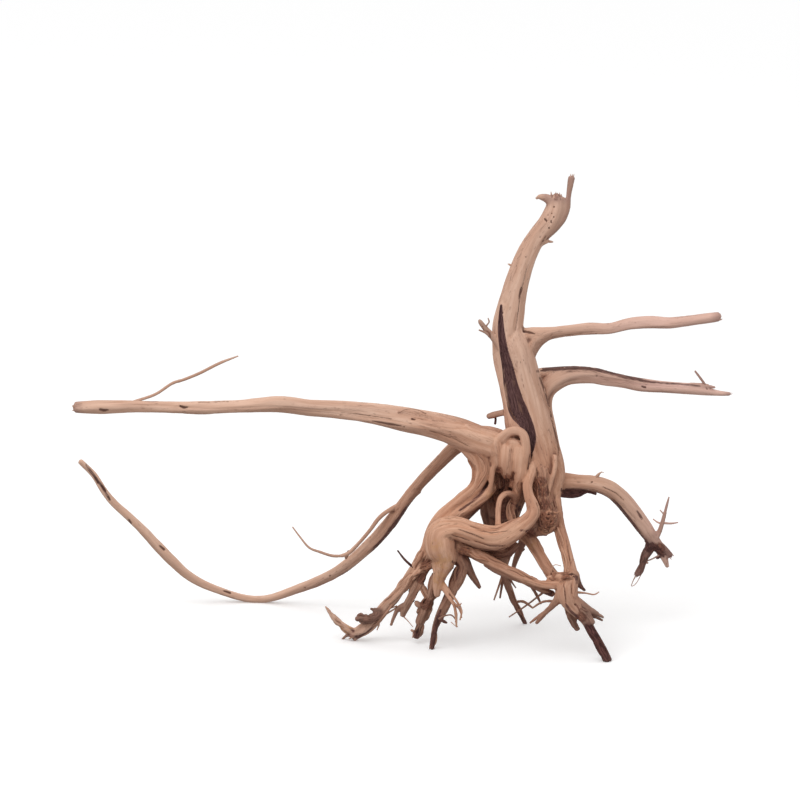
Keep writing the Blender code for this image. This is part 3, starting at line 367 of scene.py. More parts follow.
# Twigs and rootlets, in the same way. Each starts inside the wood that it grows from.
TWIGS = {
    "stem_hook_tip": [(543, 197, 21, 2.8), (539, 197, 20.5, 2.2), (536, 198.5, 20, 0.9)],
    "stem_spur": [(540, 244, 30, 2.8), (546.5, 241.5, 30, 2.2), (553, 242, 30, 0.8)],
    "stem_nub": [(514, 268, 28, 2.2), (510.5, 265, 27, 1.4), (508, 264, 26.5, 0.7)],
    "fan_stub": [
        (500, 347, 36, 4), (493, 337.5, 33, 3.4), (486, 329.5, 31, 2.9), (480.5, 322.5, 29, 2.6),
        (479.5, 320, 28.5, 1.8),
    ],
    "fan_splinter": [(493, 339, 32, 1.8), (486, 333, 29, 1.3), (479, 330, 27, 0.8)],
    "fan_curl": [
        (488, 331, 31, 1.2), (486.5, 326, 29, 0.9), (489, 322, 28, 0.8), (488, 318, 27.5, 0.6),
    ],
    "left_stub": [
        (511, 411, 58, 3.6), (501, 413, 60, 3.2), (493, 415, 62, 3.2), (487.5, 416.5, 63, 2.4),
    ],
    "left_stub_drip": [(494, 414, 63, 1.6), (495.5, 419, 64, 1.3), (495, 424, 64.5, 1.4)],
    "split_tip": [(690, 386, 80, 3), (704, 386, 81, 2.4), (715, 387.3, 82, 0.9)],
    "split_twig": [
        (707, 390, 81, 1.5), (704.5, 384, 80, 1.3), (700, 377.5, 79, 1.2), (695, 371, 78, 0.9),
    ],
    "flap_tip": [(580, 491.5, 84, 3), (588, 491.5, 85.5, 2), (596, 494, 87, 1.5)],
    "fork_mast": [
        (655, 540, 109, 3), (659.5, 531, 108, 2.3), (663, 520, 106.5, 1.9), (666, 508, 105, 1.6),
        (669, 497, 103, 0.8),
    ],
    "mast_right": [(663, 523, 107, 1.3), (671, 523.5, 106, 1), (678, 522.5, 105, 0.6)],
    "mast_left": [(664, 523.5, 107, 1.3), (658, 522.5, 108, 1), (653, 519, 109, 0.6)],
    "mast_top": [(665.5, 516, 106, 1), (660, 510, 107, 0.6)],
    "fork_wire": [
        (648, 563, 113, 1), (644, 562, 114, 0.8), (651, 559.5, 115, 0.7), (659, 555.5, 116, 1),
    ],
    "fork_hook": [(661, 552, 117, 2.6), (659, 557, 117, 1.8), (656.5, 558.5, 116, 0.9)],
    "limb_nub": [(596, 477, 76, 1.6), (599, 473.5, 75, 0.9), (602, 472, 74.5, 0.6)],
    "back_twig": [
        (120, 407, 3, 2.4), (133, 402, 12, 1.7), (155, 394.5, 22, 1.5), (172, 383.5, 29, 1.6),
        (184, 379.5, 34, 1.4), (200, 373, 40, 1.5), (220, 363, 47, 1.4), (238, 356, 53, 0.7),
    ],
    "limb_branch": [
        (418, 490, 110, 4.4), (404, 503, 120, 3.4), (392, 508.5, 124, 2.6), (380, 517, 128, 2.3),
        (370, 530, 132, 2), (358, 544, 137, 1.9), (347, 554, 142, 1.9), (334, 556, 147, 1.5),
        (320, 552, 151, 1.3), (309, 547.5, 154, 1.1), (300, 537, 157, 0.8), (292.5, 527, 159, 0.6),
    ],
    "branch_stub": [(349, 551, 141, 1.8), (345.5, 558.5, 143, 1.2)],
    "crown_arch": [
        (514, 508, 46, 3), (515, 500, 44, 3.4), (511.5, 494.6, 40, 3.4), (505.5, 494, 35.5, 3.3),
        (500.3, 499, 31.5, 3.1), (498.3, 510, 28, 3), (498, 523, 24, 3.1), (498.5, 532, 19, 3),
    ],
    "crown_strand": [
        (520, 486, 48, 4.4), (516, 498, 48, 4), (511.5, 508, 46, 3.6), (511, 517, 40, 3.6),
        (514, 526, 30, 3.4),
    ],
    "crown_thread": [
        (497, 458, 33, 2.6), (493.5, 468, 35, 2.4), (492, 478, 38, 2.3), (490.5, 487, 41, 2.6),
        (486, 494, 42, 3),
    ],
    "blade_prong": [(462, 552, 38, 3.2), (469, 564, 40, 2.2), (474.5, 575.5, 42, 0.9)],
    "hand_twig": [(415, 569, 42, 1.4), (405, 560, 39, 1.2), (397.5, 550.5, 36, 0.8)],
    "inner_finger": [
        (424, 551, 38, 3.4), (423, 562, 42, 2.8), (416, 571, 45, 3), (411, 581, 48, 2.6),
        (406.5, 590, 51, 1.6),
    ],
    "second_fork": [
        (405, 605, 58, 3), (398.5, 608.5, 62, 2.5), (394.5, 616, 66, 2), (391, 625, 69, 1.6),
    ],
    "second_hair": [(398, 607, 61, 1.1), (388, 613, 66, 0.8), (383, 617, 70, 0.9)],
    "knob_left": [(425, 606, 56, 4), (419, 605, 53, 3.2), (416, 602, 52, 2.6)],
    "knob_strand": [(420, 576, 45, 2.6), (422, 586, 47, 2.8), (427, 596, 50, 3), (428, 606, 55, 3)],
    "knob_spur": [(417, 633, 73, 3), (411, 630, 74, 1)],
    "curl_one": [
        (441, 584, 32, 2.4), (447.5, 595, 30, 2), (454, 605, 28, 1.7), (456, 616, 28, 1.4),
        (456.5, 627, 29, 0.9),
    ],
    "curl_two": [
        (443, 583, 30, 2), (450, 592, 29.5, 1.7), (457.5, 602.5, 29, 1.4), (461.5, 611, 28, 1.2),
        (460, 620, 28, 0.8),
    ],
    "dark_spur": [(438, 617, 40, 2.8), (443, 621, 40, 1.8), (447, 623, 40, 0.8)],
    "dark_hair": [(439, 619, 39, 1.4), (444, 616, 37, 0.8), (451, 615, 35, 0.7), (455.5, 619, 32, 0.9)],
    "bark_blob": [(380, 613, 66, 4.6), (370, 619, 65, 4.2), (361, 618, 66, 3.8), (356, 619.5, 67, 2.4)],
    "bark_spur": [(380, 611, 63, 3), (373, 609.5, 62, 1.8), (370.5, 608.5, 62, 0.8)],
    "left_arm": [
        (359, 634, 81, 4.2), (350, 630.5, 81, 3.7), (340, 623.5, 80, 3), (333.5, 618, 79, 2.4),
        (329, 612, 78, 1.5), (325.5, 606.5, 77, 0.7),
    ],
    "left_claw": [(352, 633, 84, 3.4), (346, 636, 87, 1.9), (341.5, 640, 90, 0.7)],
    "claw_hair": [(377, 619, 70, 1.4), (379, 624, 72, 0.9), (377, 630, 74, 0.6)],
    "toe_fork": [(546, 612, 17, 2.4), (538.5, 616.5, 20, 1.8), (530, 623, 22, 0.9)],
    "toe_twig": [(559, 602, 13, 2), (549, 601, 20, 1.4), (541, 602.5, 26, 1.2), (532.5, 608, 31, 0.9)],
    "prop_twig": [(513, 603, 128, 1.6), (523, 601.5, 123, 1.4), (533, 608, 118, 0.9)],
    "long_rootlet": [
        (546, 590, 24, 1.4), (536, 598, 34, 0.9), (524, 607, 46, 0.8), (509, 617, 58, 0.6),
    ],
    "crossing_twig": [(529, 583, 26, 1.8), (536, 594, 32, 1.5), (541, 604, 37, 0.8)],
    "upper_prong": [
        (575, 600, 12, 5), (588, 608.5, 12, 3.4), (596, 613, 12, 2.3), (603.5, 617.5, 12, 0.9),
    ],
    "lower_prong": [(582, 607, 13, 3.6), (592, 614.5, 15, 2.4), (602.5, 620.5, 18, 0.9)],
    "heel_spur": [(574, 574, 17, 4.6), (578.5, 584, 20, 2.9), (585, 590.5, 22, 1.1)],
    "heel_hair": [(572, 592, 14, 1.8), (585, 593, 18, 1), (594, 594.5, 20, 0.8), (599, 592, 22, 0.6)],
    "prop_rootlet": [(504.5, 569, 96, 1.9), (500, 583, 104, 1.3), (494, 600, 112, 0.8)],
    "prop_sister": [(504, 572, 99, 1.9), (502, 585, 106, 1.4), (500, 598, 111, 1)],
    "prop_spur": [(506, 573, 101, 1.8), (511, 581, 106, 1.1), (516, 588, 108, 0.6)],
    "burl_root": [(524, 538, 52, 4.6), (519.5, 550, 61, 3.2), (515, 562, 68, 2.5), (511, 578, 77, 1.4)],
    "burl_spur": [(519, 552, 62, 2.2), (524.5, 549, 62, 0.9)],
    "burl_rootlet": [(508, 541, 72, 2.6), (510, 553, 72, 1.5), (507, 566, 74, 0.8)],
    "stem_knot": [(510, 302, 33, 4), (505, 302, 26, 3.2), (504, 302, 24, 2.4)],
    "crown_rib": [(499, 462, 46, 2.6), (498.5, 474, 49.5, 2.4), (500, 488, 52, 2.8)],
    "crown_rib_inner": [(507, 464, 47, 2.6), (508, 478, 52, 2.4), (506, 492, 56, 2.8)],
    "crown_seam": [
        (466, 425, 30, 2), (478, 435.5, 29.5, 1.6), (487, 445, 30, 1.6), (496, 454.5, 31.5, 1.8),
        (500, 461, 34, 2),
    ],
    "furrow_bark": [(489, 484, 47, 3), (481, 495, 46, 3), (470, 504, 45.5, 3), (461, 511, 45, 2.6)],
    "edge_strand": [
        (555.5, 456, 40, 2), (555, 468, 38.5, 2.2), (551.8, 480, 38, 2.2), (548.8, 490, 37, 2.2),
        (547, 500, 36, 2),
    ],
    "bark_strand": [
        (536.5, 470, 38, 1.9), (538, 483, 35.5, 2.1), (540, 495, 33.8, 2), (542, 506, 31.5, 1.8),
    ],
    "bark_strand_middle": [
        (541, 466, 36.5, 1.9), (543, 479, 34, 2.2), (544.5, 491, 34, 2.1), (545.5, 503, 32, 1.8),
    ],
    "bark_strand_right": [
        (546, 468, 37, 1.9), (547.5, 480, 35.5, 2.1), (546.5, 492, 36, 1.9), (549, 503, 33.5, 1.8),
    ],
    "burl_hair": [(551, 511, 33, 1.6), (556, 513, 31, 1), (559.5, 511.5, 30, 0.7)],
}

# Hollows cut into the wood.
CARVINGS = {
    "stem_hollow": [
        (501.5, 306, 24.8, 1.4), (500.8, 320, 24.8, 3), (501.5, 338, 24.8, 4.4),
        (505.5, 360, 27.8, 6.8), (509.3, 382, 31.3, 8.2), (513.8, 399, 32.8, 8.8),
        (518.5, 411, 33.8, 9.2), (526, 423, 34.8, 6.8), (530.8, 436, 35.8, 5), (529.8, 449, 36.8, 4.2),
        (528, 459, 35.8, 2.6), (527.5, 468, 36.8, 1.4),
    ],
    "boss_eye": [(513.5, 436.8, 26.3, 1.6), (516.5, 437, 27.8, 2.5), (519.5, 436.2, 28.3, 1.5)],
    "crown_hollow": [
        (503, 462, 40, 2), (503.5, 470, 41, 5.4), (503.5, 480, 44, 7), (501, 489, 47, 6.2),
        (498, 498, 50, 4),
    ],
    "palm_gap": [(452.5, 568, 24, 2), (449, 574, 27, 2.6), (447, 581, 32, 2)],
}

# Wood that fills the crown flush, beyond the solid's limbs, in the same way as those.
FILLS = {
    "boss_fill": [(518.5, 447, 31.5, 6), (518.5, 460, 32, 7), (517, 470, 36, 6.5)],
    "boss_panel": [(509, 446.5, 33, 8), (508.5, 457, 33.5, 8.5), (508, 467, 37, 8), (508, 475, 42, 7)],
    "boss_panel_left": [(497, 449, 38, 10), (498.5, 459, 39, 9.5), (500, 468, 45, 8)],
    "crown_web": [(499, 459, 41, 9), (502, 468, 46, 8), (504, 477, 53, 6.5)],
    "claw_bulge": [(357, 632.7, 79.8, 5.3), (362, 629.5, 77.6, 6.1), (367, 626.0, 75.2, 5.7)],
    "crown_fill": [(497, 468, 62, 8), (495.5, 485, 66, 8), (495, 500, 70, 8), (498, 515, 72, 8)],
    "bend_fill": [(537, 514, 35, 5), (535, 523, 36, 5), (531, 531, 40, 5)],
}

# How dark each route's wood is, from 0, washed, to 1, stained through, and at the crown's back partly painted
# shade.
DARKNESS = {
    "long_toe": 0.9, "dark_finger": 0.4, "dark_flap": 0.95, "flap_tip": 0.9, "lower_right_fork": 0.75,
    "fork_wire": 0.3, "fork_hook": 0.9, "lower_right_stub": 0.7, "outer_finger": 0.1, "second_finger": 0.32,
    "second_fork": 0.35, "knobby_finger": 0.36, "knob_left": 0.35, "knob_strand": 0.25,
    "inner_finger": 0.25, "hand_twig": 0.9, "blunt_prong": 0.6, "blade_prong": 0.85, "foot_heel": 0.55,
    "foot_lobe": 0.6, "heel_spur": 0.8, "upper_prong": 0.55, "lower_prong": 0.6, "prop_root": 0.45,
    # crown_heart, crown_back and back_strand are dark partly as painted shade of the crown's depths.
    "prop_rootlet": 0.3, "prop_sister": 0.6, "prop_spur": 0.6, "crossing_fork": 0.4, "back_strand": 0.6,
    "crown_heart": 0.7, "crown_back": 0.4, "hidden_strand": 0.6, "under_bulk": 0.55, "burl": 0.42,
    "burl_knob": 0.42, "burl_curl": 0.05, "crown_fill": 0.55, "crown_web": 0.35, "bend_fill": 0.5,
    "claw_bulge": 0.0, "burl_wart": 0.55, "burl_lip": 0.3, "cuff_lump": 0.6, "bark_blob": 0.6,
    "left_arm": 0.08, "left_claw": 0.4, "bark_spur": 0.65, "left_stub": 0.4, "left_stub_drip": 0.9,
    "stem_blade": 0.4, "stem_hook": 0.25, "fan_stub": 0.35, "fan_splinter": 0.4, "fan_curl": 0.4,
    "split_tip": 0.2, "split_twig": 0.3, "burl_root": 0.5, "burl_spur": 0.5, "burl_rootlet": 0.4,
    "crossing_twig": 0.6, "dark_spur": 0.8, "dark_hair": 0.5, "toe_twig": 0.4, "prop_twig": 0.4,
    "furrow_bark": 0.85, "crown_rib": 0.5, "crown_rib_inner": 0.6, "bark_strand": 0.3,
    "bark_strand_middle": 0.45, "bark_strand_right": 0.4, "fork_mast": 0.3, "toe_fork": 0.4,
    "back_twig": 0.15, "branch_stub": 0.4, "crown_strand": 0.25, "knee_hair": 0.3, "right_leg": 0.12,
    "middle_leg": 0.15, "foot_toe": 0.35, "long_rootlet": 0.45,
}

# Limbs that end in a break: number of splinters round it, their length and their radius in millimetres.
BROKEN_ENDS = {
    "stem": (9, 5.0, 1.5),
    "upper_right_limb": (6, 3.0, 1.0),
    "upper_left_limb": (7, 2.6, 1.1),
    "middle_right_limb": (2, 3.0, 0.6),
    "stem_blade": (3, 3.0, 0.9),
    "lower_right_stub": (4, 2.5, 0.8),
    "lower_right_fork": (4, 2.5, 0.8),
    "long_toe": (4, 2.0, 1.3),
    "knobby_finger": (5, 1.6, 1.5),
    "outer_finger": (4, 3.0, 1.3),
}

# Rough, knobbly bark and burl, as (across, down, back, radius).
ROUGH_SPOTS = [
    (546, 520, 34, 14), (544, 504, 34, 10), (543, 492, 35, 9), (541, 482, 36, 9), (530, 533, 42, 9),
    (508, 480, 42, 12), (500, 470, 40, 9), (506, 492, 50, 9), (498, 484, 57, 11), (497, 500, 62, 12),
    (501, 513, 64, 10), (466, 551, 28, 12), (427, 566, 36, 10), (422, 578, 44, 9), (566, 577, 12, 8),
    (555, 578, 16, 7), (351, 637, 82, 6), (371, 618, 68, 5), (426, 604, 50, 10), (486, 336, 30, 7),
    (556, 197, 24, 8), (658, 548, 116, 10), (492, 556, 36, 12), (517, 437, 28, 4), (581, 617, 8, 9),
    (590, 640, 8, 6), (476, 556, 30, 9), (416, 634, 68, 7),
]

# Frayed wood: number of strands half sunk in a limb's skin, and their length and radius in millimetres.
FRAYED = {
    "outer_finger": (16, 34, 1.2), "second_finger": (9, 22, 1.1), "knobby_finger": (16, 16, 1.3),
    "inner_finger": (6, 20, 1.0), "dark_finger": (9, 26, 1.2), "finger_bridge": (8, 16, 1.1),
    "left_strand": (10, 40, 1.3), "left_strand_inner": (8, 30, 1.2), "under_bulk": (16, 22, 1.5),
    "crossing_root": (9, 30, 1.2), "ankle_cuff": (10, 14, 1.1), "foot_lobe": (9, 14, 1.2),
    "foot_heel": (8, 16, 1.1), "long_toe": (9, 26, 1.1), "burl": (16, 20, 1.3), "bark_blob": (9, 10, 1.2),
    "left_arm": (9, 14, 1.0), "lower_right_fork": (7, 18, 0.9), "lower_right_stub": (6, 10, 1.0),
    "right_leg": (8, 60, 1.1), "middle_leg": (6, 40, 1.1), "crown_strand": (6, 24, 1.1),
    "boss": (5, 26, 1.2), "crown_heart": (14, 30, 1.6), "back_strand": (8, 30, 1.3),
    "knob_strand": (5, 16, 1.0), "prop_root": (8, 36, 1.0), "furrow_bark": (6, 14, 1.1),
    "bark_strand": (3, 16, 1.0), "bark_strand_middle": (3, 16, 1.0), "bark_strand_right": (3, 16, 1.0),
}

# How deep the seams of ragged limbs are, as a share of the full depth.
GROOVED = {
    "outer_finger": 1, "second_finger": 0.8, "knobby_finger": 1, "inner_finger": 0.8, "dark_finger": 0.8,
    "finger_bridge": 1, "left_strand": 0.5, "left_strand_inner": 0.6, "under_bulk": 1, "crossing_root": 0.6,
    "ankle_cuff": 0.8, "foot_lobe": 0.9, "foot_heel": 0.8, "long_toe": 0.8, "burl": 1, "burl_knob": 1,
    "burl_wart": 1, "bark_blob": 1, "left_arm": 0.8, "lower_right_fork": 0.7, "lower_right_stub": 0.8,
    "right_leg": 0.35, "middle_leg": 0.3, "crown_strand": 0.5, "crown_heart": 1, "crown_back": 0.6,
    "back_strand": 0.8, "knob_strand": 0.8, "prop_root": 0.6, "furrow_bark": 1, "bark_strand": 0.8,
    "bark_strand_middle": 0.8, "bark_strand_right": 0.8, "great_bend": 0.25, "dark_flap": 0.6,
    "foot_toe": 0.4, "blunt_prong": 0.6, "crossing_fork": 0.5, "hidden_strand": 0.8, "lower_left_limb": 0.2,
}

# Finer strands, in the same way as the frayed wood.
HAIRY = {
    "outer_finger": (9, 26, 0.6), "knobby_finger": (12, 12, 0.6), "under_bulk": (12, 16, 0.6),
    "burl": (14, 14, 0.55), "left_arm": (8, 12, 0.5), "bark_blob": (8, 9, 0.5), "dark_finger": (6, 20, 0.5),
    "second_finger": (6, 16, 0.5), "finger_bridge": (6, 12, 0.5), "foot_lobe": (6, 10, 0.5),
    "upper_left_limb": (7, 30, 0.4), "crossing_root": (6, 18, 0.5), "left_strand": (6, 24, 0.5),
    "ankle_cuff": (6, 10, 0.5), "long_toe": (4, 20, 0.5), "lower_right_fork": (4, 14, 0.45),
}

# The burl's middle, half width and half height, and its curls: number, length and radius.
BURL = (546, 520.5, 37, 10.5, 13.5)
BURL_CURLS = (60, 12, 1.1)
BURL_HAIRS = (44, 9, 0.55)

# Yellowish spots, in the same way as the rough ones.
OCHRE_SPOTS = [
    (443, 562, 16, 14), (440, 580, 24, 12), (437, 545, 12, 9), (532, 545, 40, 8), (346, 629, 81, 11),
    (492, 497, 42, 9),
]

# The wood is brown round a middle (across, down), and fades between two distances from it. It turns rosy
# between two places across.
BROWN_MIDDLE = (500, 540)
BROWN_REACH = (55, 190)
ROSY_FROM = (530, 660)

# Dark cracks, seams and pits on the front, as broken lines of (across, down, half width).
CRACKS = [
    [(521.5, 287, 0.5), (521, 290, 1.2), (519.5, 296, 0.8), (519, 299, 0.3)],
    [(527, 268, 0.2), (523, 285, 0.3), (519.5, 300, 0.3), (516, 330, 0.2)], [(549, 228, 0.9)],
    [(545, 219, 0.9), (546.5, 221, 0.8)], [(551, 221, 0.8), (551.5, 223, 0.6)], [(554, 217, 0.8)],
    [(552, 213.5, 0.5)], [(548, 215, 0.5)], [(554, 207, 0.8)], [(526, 257, 0.7)], [(540, 237, 0.7)],
    [(540, 246, 0.3), (543, 241, 0.6), (546, 236, 0.3)],
    [(540, 378, 0.9), (546, 395, 0.7), (550, 410, 0.8), (553, 425, 0.6), (557, 440, 0.8),
     (559, 450, 0.6), (558, 457, 0.3)], [(524, 331.5, 1.2), (530, 332.5, 1.1), (535, 334, 0.4)],
    [(372, 421, 0.3), (380, 422.5, 0.9), (392, 424.5, 1.1), (401, 426, 0.5)],
    [(340, 412, 0.2), (365, 415, 0.3), (392, 419, 0.2)],
    [(430, 431, 0.2), (452, 438, 0.35), (470, 447, 0.2)],
    [(100, 409.5, 1.1), (104, 410.5, 1.5), (108, 410, 0.8)],
    [(180, 406, 0.9), (184, 407.5, 1.3), (188, 407, 0.5)], [(412, 419, 0.8), (415, 419.5, 0.6)],
    [(404, 427, 0.8)], [(160, 546, 0.8), (164, 549.5, 1.2)], [(129, 520, 0.9), (131, 523, 0.9)],
    [(224, 591, 0.8), (230, 593, 1.2)], [(330, 576, 0.9)], [(305, 588, 0.7)],
    [(102, 486, 0.9), (105, 491, 1.3)], [(108, 497, 0.8), (110, 500, 1)], [(95, 478, 0.9), (98, 483, 1.1)],
    [(642, 386.5, 0.7), (645.5, 387.5, 1)], [(597, 376, 0.6)], [(592, 482, 0.8)],
    [(637, 511, 0.6), (640.5, 516, 1.3), (642, 519, 0.7)],
    [(603, 487, 0.3), (616, 493, 0.4), (624, 500, 0.3)],
    [(531, 455, 1.5), (529.5, 461, 1.1), (528, 469, 0.6)],
    [(452, 535, 0.3), (463, 538.5, 0.5), (470, 541, 0.3)],
    [(458, 529, 0.3), (472, 534, 0.5), (484, 539, 0.3)],
    [(470, 526, 0.2), (490, 533, 0.4), (508, 531, 0.2)],
    [(474, 541, 0.3), (490, 546, 0.6), (503, 546, 0.4)],
    [(462, 543, 0.3), (478, 548.5, 0.6), (495, 551, 0.5), (508, 547, 0.3)],
    [(536.5, 468, 0.2), (538.5, 484, 0.6), (541, 500, 0.3)],
    [(541, 464, 0.2), (543, 480, 0.6), (545, 498, 0.3)],
    [(547, 470, 0.2), (547.5, 486, 0.6), (549, 500, 0.3)],
    [(566, 540, 0.2), (569, 556, 0.4), (571, 566, 0.2)],
    [(563, 582, 0.3), (565, 592, 0.5), (566, 603, 0.5)], [(571, 583, 0.2), (572, 594, 0.3)],
    [(575.5, 604.5, 1.1)], [(553, 571, 0.5), (551, 574, 0.8)],
]

# Dark strips on the front, in the same way as the cracks.
STAINS = [
    [(416, 499, 0.8), (407, 509, 2.2), (396, 524, 3.4), (383, 542, 3.6), (372, 554, 3), (361, 563.5, 2.2),
     (350, 570.5, 1.6), (338, 577, 0.8)],
    [(538, 371, 1.6), (552, 368.8, 3), (566, 368, 3.2), (582, 367.8, 2.8), (600, 370.2, 2.2), (622, 376, 1.8),
     (650, 381.5, 1.4), (676, 384, 1), (700, 386, 0.8)],
    [(562, 490, 2), (580, 489.5, 1.5), (596, 492, 1.6), (606, 497, 2.2), (613, 503, 3), (621, 511.5, 3.6),
     (629, 521.5, 3.4), (636, 532, 3), (643, 541.5, 3.6), (648, 548, 4)],
    [(652, 546, 4), (658, 550, 4), (664, 555, 2.5)],
    [(488, 483, 1.2), (481, 494, 1.6), (471, 503, 1.6), (460, 510.5, 1)],
    [(351.5, 630, 0.8), (353, 631, 1.5)], [(357, 637, 2.5), (366, 634, 1.6), (376, 624, 1)],
    [(566, 604, 0.6), (571, 612, 1), (578, 617, 1.4)], [(418, 627, 2), (416, 636, 3)],
    [(440, 610, 1), (437, 624, 3), (434, 638, 4), (432, 651, 4)],
    [(452, 561, 0.8), (457, 566, 2), (455, 580, 1)], [(521, 530.5, 1), (529, 531, 1.4), (536, 527, 1)],
    [(546, 594, 1.2), (553, 594, 2.4)], [(570, 573, 1.2), (576, 577, 2), (577, 583, 1.4)],
    [(511, 503, 0.6), (519, 507, 2.4), (521, 514, 2.2)], [(590, 628, 3), (598, 643, 4), (606, 660, 5)],
    [(515, 598, 1), (520, 612, 3), (526, 626, 3)],
    [(86, 465, 1), (94, 476, 1.6), (103, 488, 1.4), (109, 498, 0.8)],
]

# Fine strands beyond the solid's twigs, as (across, down, back, radius).
HAIRS = {
    "knee_hair": [(397, 606, 58, 0.7), (388, 609, 62, 0.5), (380, 612, 66, 0.4)],
    "second_strand": [(403, 616, 63, 0.8), (408, 621, 62, 0.5), (413, 627, 60, 0.35)],
    "curl_three": [(446, 590, 30, 1), (453, 603, 28, 0.9), (459, 609, 27, 0.8), (462, 618, 27, 0.4)],
    "curl_four": [(454, 604, 27, 0.8), (457, 615, 27, 0.6), (455, 622, 28, 0.4)],
    "curl_five": [(451, 599, 28, 0.8), (458, 606, 26, 0.8), (461.5, 603, 26, 0.5)],
    "curl_six": [(451, 622, 31, 0.5), (455, 625.5, 30, 0.4), (458, 627, 29, 0.3)],
    "fork_loop": [
        (638, 572, 117, 0.9), (633.5, 580, 118, 0.5), (631.5, 586, 118, 0.4), (636, 583.5, 118, 0.4),
        (641.5, 574, 117, 0.4),
    ],
    "lifted_fibre": [
        (398, 412.5, 24, 0.9), (407, 409, 22, 0.6), (417, 409.6, 22, 0.5), (426, 413.5, 26, 0.8),
    ],
    "ankle_loop": [(553, 575, 16, 0.6), (551.5, 569, 14, 0.5), (555, 564.8, 14, 0.4), (561, 566, 15, 0.4)],
    "limb_hair": [(598, 477, 76, 0.8), (601, 472.5, 75, 0.5), (604, 472.5, 74, 0.35)],
}


def frame_position(across, down, back):
    """The place in metres of points surveyed in millimetres on the leaning front."""
    height = DATUM_ABOVE_GROUND - down
    along_y = height * math.sin(LEAN) + back * math.cos(LEAN) - DATUM_TO_MIDDLE
    along_z = height * math.cos(LEAN) - back * math.sin(LEAN)
    return np.stack([across - DATUM_ACROSS, along_y, along_z], axis=-1) * MM


def seeded(name):
    """A random generator that is the same on every run for this name."""
    return np.random.default_rng(zlib.crc32(name.encode()))


def pattern_shift(route):
    """Three seeded millimetres, which keep one route's patterns from being like another's."""
    return seeded(route.name).uniform(-PATTERN_SHIFT, PATTERN_SHIFT, 3)


class Route:
    """A limb's centreline, as samples.

    Each has its place, its radius, its distance along the route, and three unit vectors: along the route, and
    two across it, of which the first leans to the axis that the route runs along least.
    """

    def __init__(self, name, points, radii):
        self.name = name
        self.points = points
        self.radii = radii
        gaps = np.linalg.norm(np.diff(points, axis=0), axis=1)
        self.travel = np.concatenate([[0], np.cumsum(gaps)])
        along = np.gradient(points, axis=0)
        self.along = along / np.linalg.norm(along, axis=1, keepdims=True)
        reference = np.eye(3)[np.abs(self.along).max(axis=0).argmin()]
        first = reference - (self.along @ reference)[:, None] * self.along
        self.first = first / np.linalg.norm(first, axis=1, keepdims=True)
        self.second = np.cross(self.along, self.first)

    @classmethod
    def surveyed(cls, name, table, step):
        """The route on a Catmull-Rom curve through (across, down, back, radius) points, sampled at a step."""
        table = np.array(table, float)
        ends = 2 * table[[0, -1]] - table[[1, -2]]
        table = np.vstack([ends[:1], table, ends[1:]])
        samples = []
        for before, start, end, after in zip(table, table[1:], table[2:], table[3:]):
            count = max(1, round(float(np.linalg.norm(end[:3] - start[:3])) / step))
            t = (np.arange(count) / count)[:, None]
            samples.append(
                0.5 * (2 * start + (end - before) * t + (2 * before - 5 * start + 4 * end - after) * t**2
                       + (3 * start - before - 3 * end + after) * t**3)
            )
        samples = np.vstack(samples + [table[-2:-1]])
        places = frame_position(samples[:, 0], samples[:, 1], samples[:, 2])
        return cls(name, places, np.maximum(samples[:, 3], THINNEST) * MM)

    def between(self, values, travel):
        """The samples' values, read at other distances along the route."""
        return np.stack([np.interp(travel, self.travel, column) for column in values.T], axis=1)

    def nearest(self, places):
        """The index of the sample nearest to each place."""
        cost = (self.points**2).sum(1)[None, :] - 2 * places @ self.points.T
        return cost.argmin(axis=1)

    def survey(self, places):
        """(distance from the centreline in radii, straightened place in millimetres) of each place.

        The straightened place is the offset along both across vectors, and the distance along the route.
        """
        found = self.nearest(places)
        offset = places - self.points[found]
        across = (offset * self.first[found]).sum(1)
        aside = (offset * self.second[found]).sum(1)
        beyond = (offset * self.along[found]).sum(1)
        reach = np.linalg.norm(offset, axis=1) / self.radii[found]
        straight = np.stack([across, aside, self.travel[found] + beyond], axis=1) / MM
        return reach, straight


def surveyed_routes(tables, step):
    """The routes of named tables, sampled about a step in millimetres apart."""
    return [Route.surveyed(name, table, step) for name, table in tables.items()]


def tube(route, sides, lobes, added=0.0, last=None):
    """(places, faces, straightened places) of a closed tube round a route, or round its samples before last.

    Each ring's radius is the route's plus what is added, times 1 + the sum of the lobes' cosines round the
    ring, which turn slowly along the route. A pointed tip closes each end.
    """
    points = route.points[:last]
    radii = route.radii[:last] + added
    travel = route.travel[:last] / MM
    along = route.along[:last]
    angles = np.linspace(0, 2 * math.pi, sides, endpoint=False)
    phases = seeded(route.name).uniform(0, 2 * math.pi, len(lobes))
    shape = 1 + sum(
        depth * np.cos(count * angles[None, :] + phase + LOBE_TURN * count * travel[:, None])
        for (count, depth), phase in zip(lobes.items(), phases)
    )
    turn_first = np.cos(angles)[None, :] * radii[:, None] * shape
    turn_second = np.sin(angles)[None, :] * radii[:, None] * shape
    rings = (
        points[:, None, :]
        + turn_first[:, :, None] * route.first[:last, None, :]
        + turn_second[:, :, None] * route.second[:last, None, :]
    )
    tips = np.array([
        points[0] - TIP_LENGTH * radii[0] * along[0],
        points[-1] + TIP_LENGTH * radii[-1] * along[-1],
    ])
    distance = np.broadcast_to(travel[:, None], turn_first.shape)
    straight = np.stack([turn_first / MM, turn_second / MM, distance], -1)
    straight_tips = np.array([[0, 0, travel[0] - 1], [0, 0, travel[-1] + 1]])
    count = len(points)
    index = np.arange(count * sides).reshape(count, sides)
    following = np.roll(index, -1, axis=1)
    quads = np.stack([index[:-1], following[:-1], following[1:], index[1:]], -1).reshape(-1, 4)
    start = np.stack([following[0], index[0], np.full(sides, count * sides)], -1)
    end = np.stack([index[-1], following[-1], np.full(sides, count * sides + 1)], -1)
    places = np.vstack([rings.reshape(-1, 3), tips])
    straightened = np.vstack([straight.reshape(-1, 3), straight_tips])
    return places, [quads, start, end], straightened


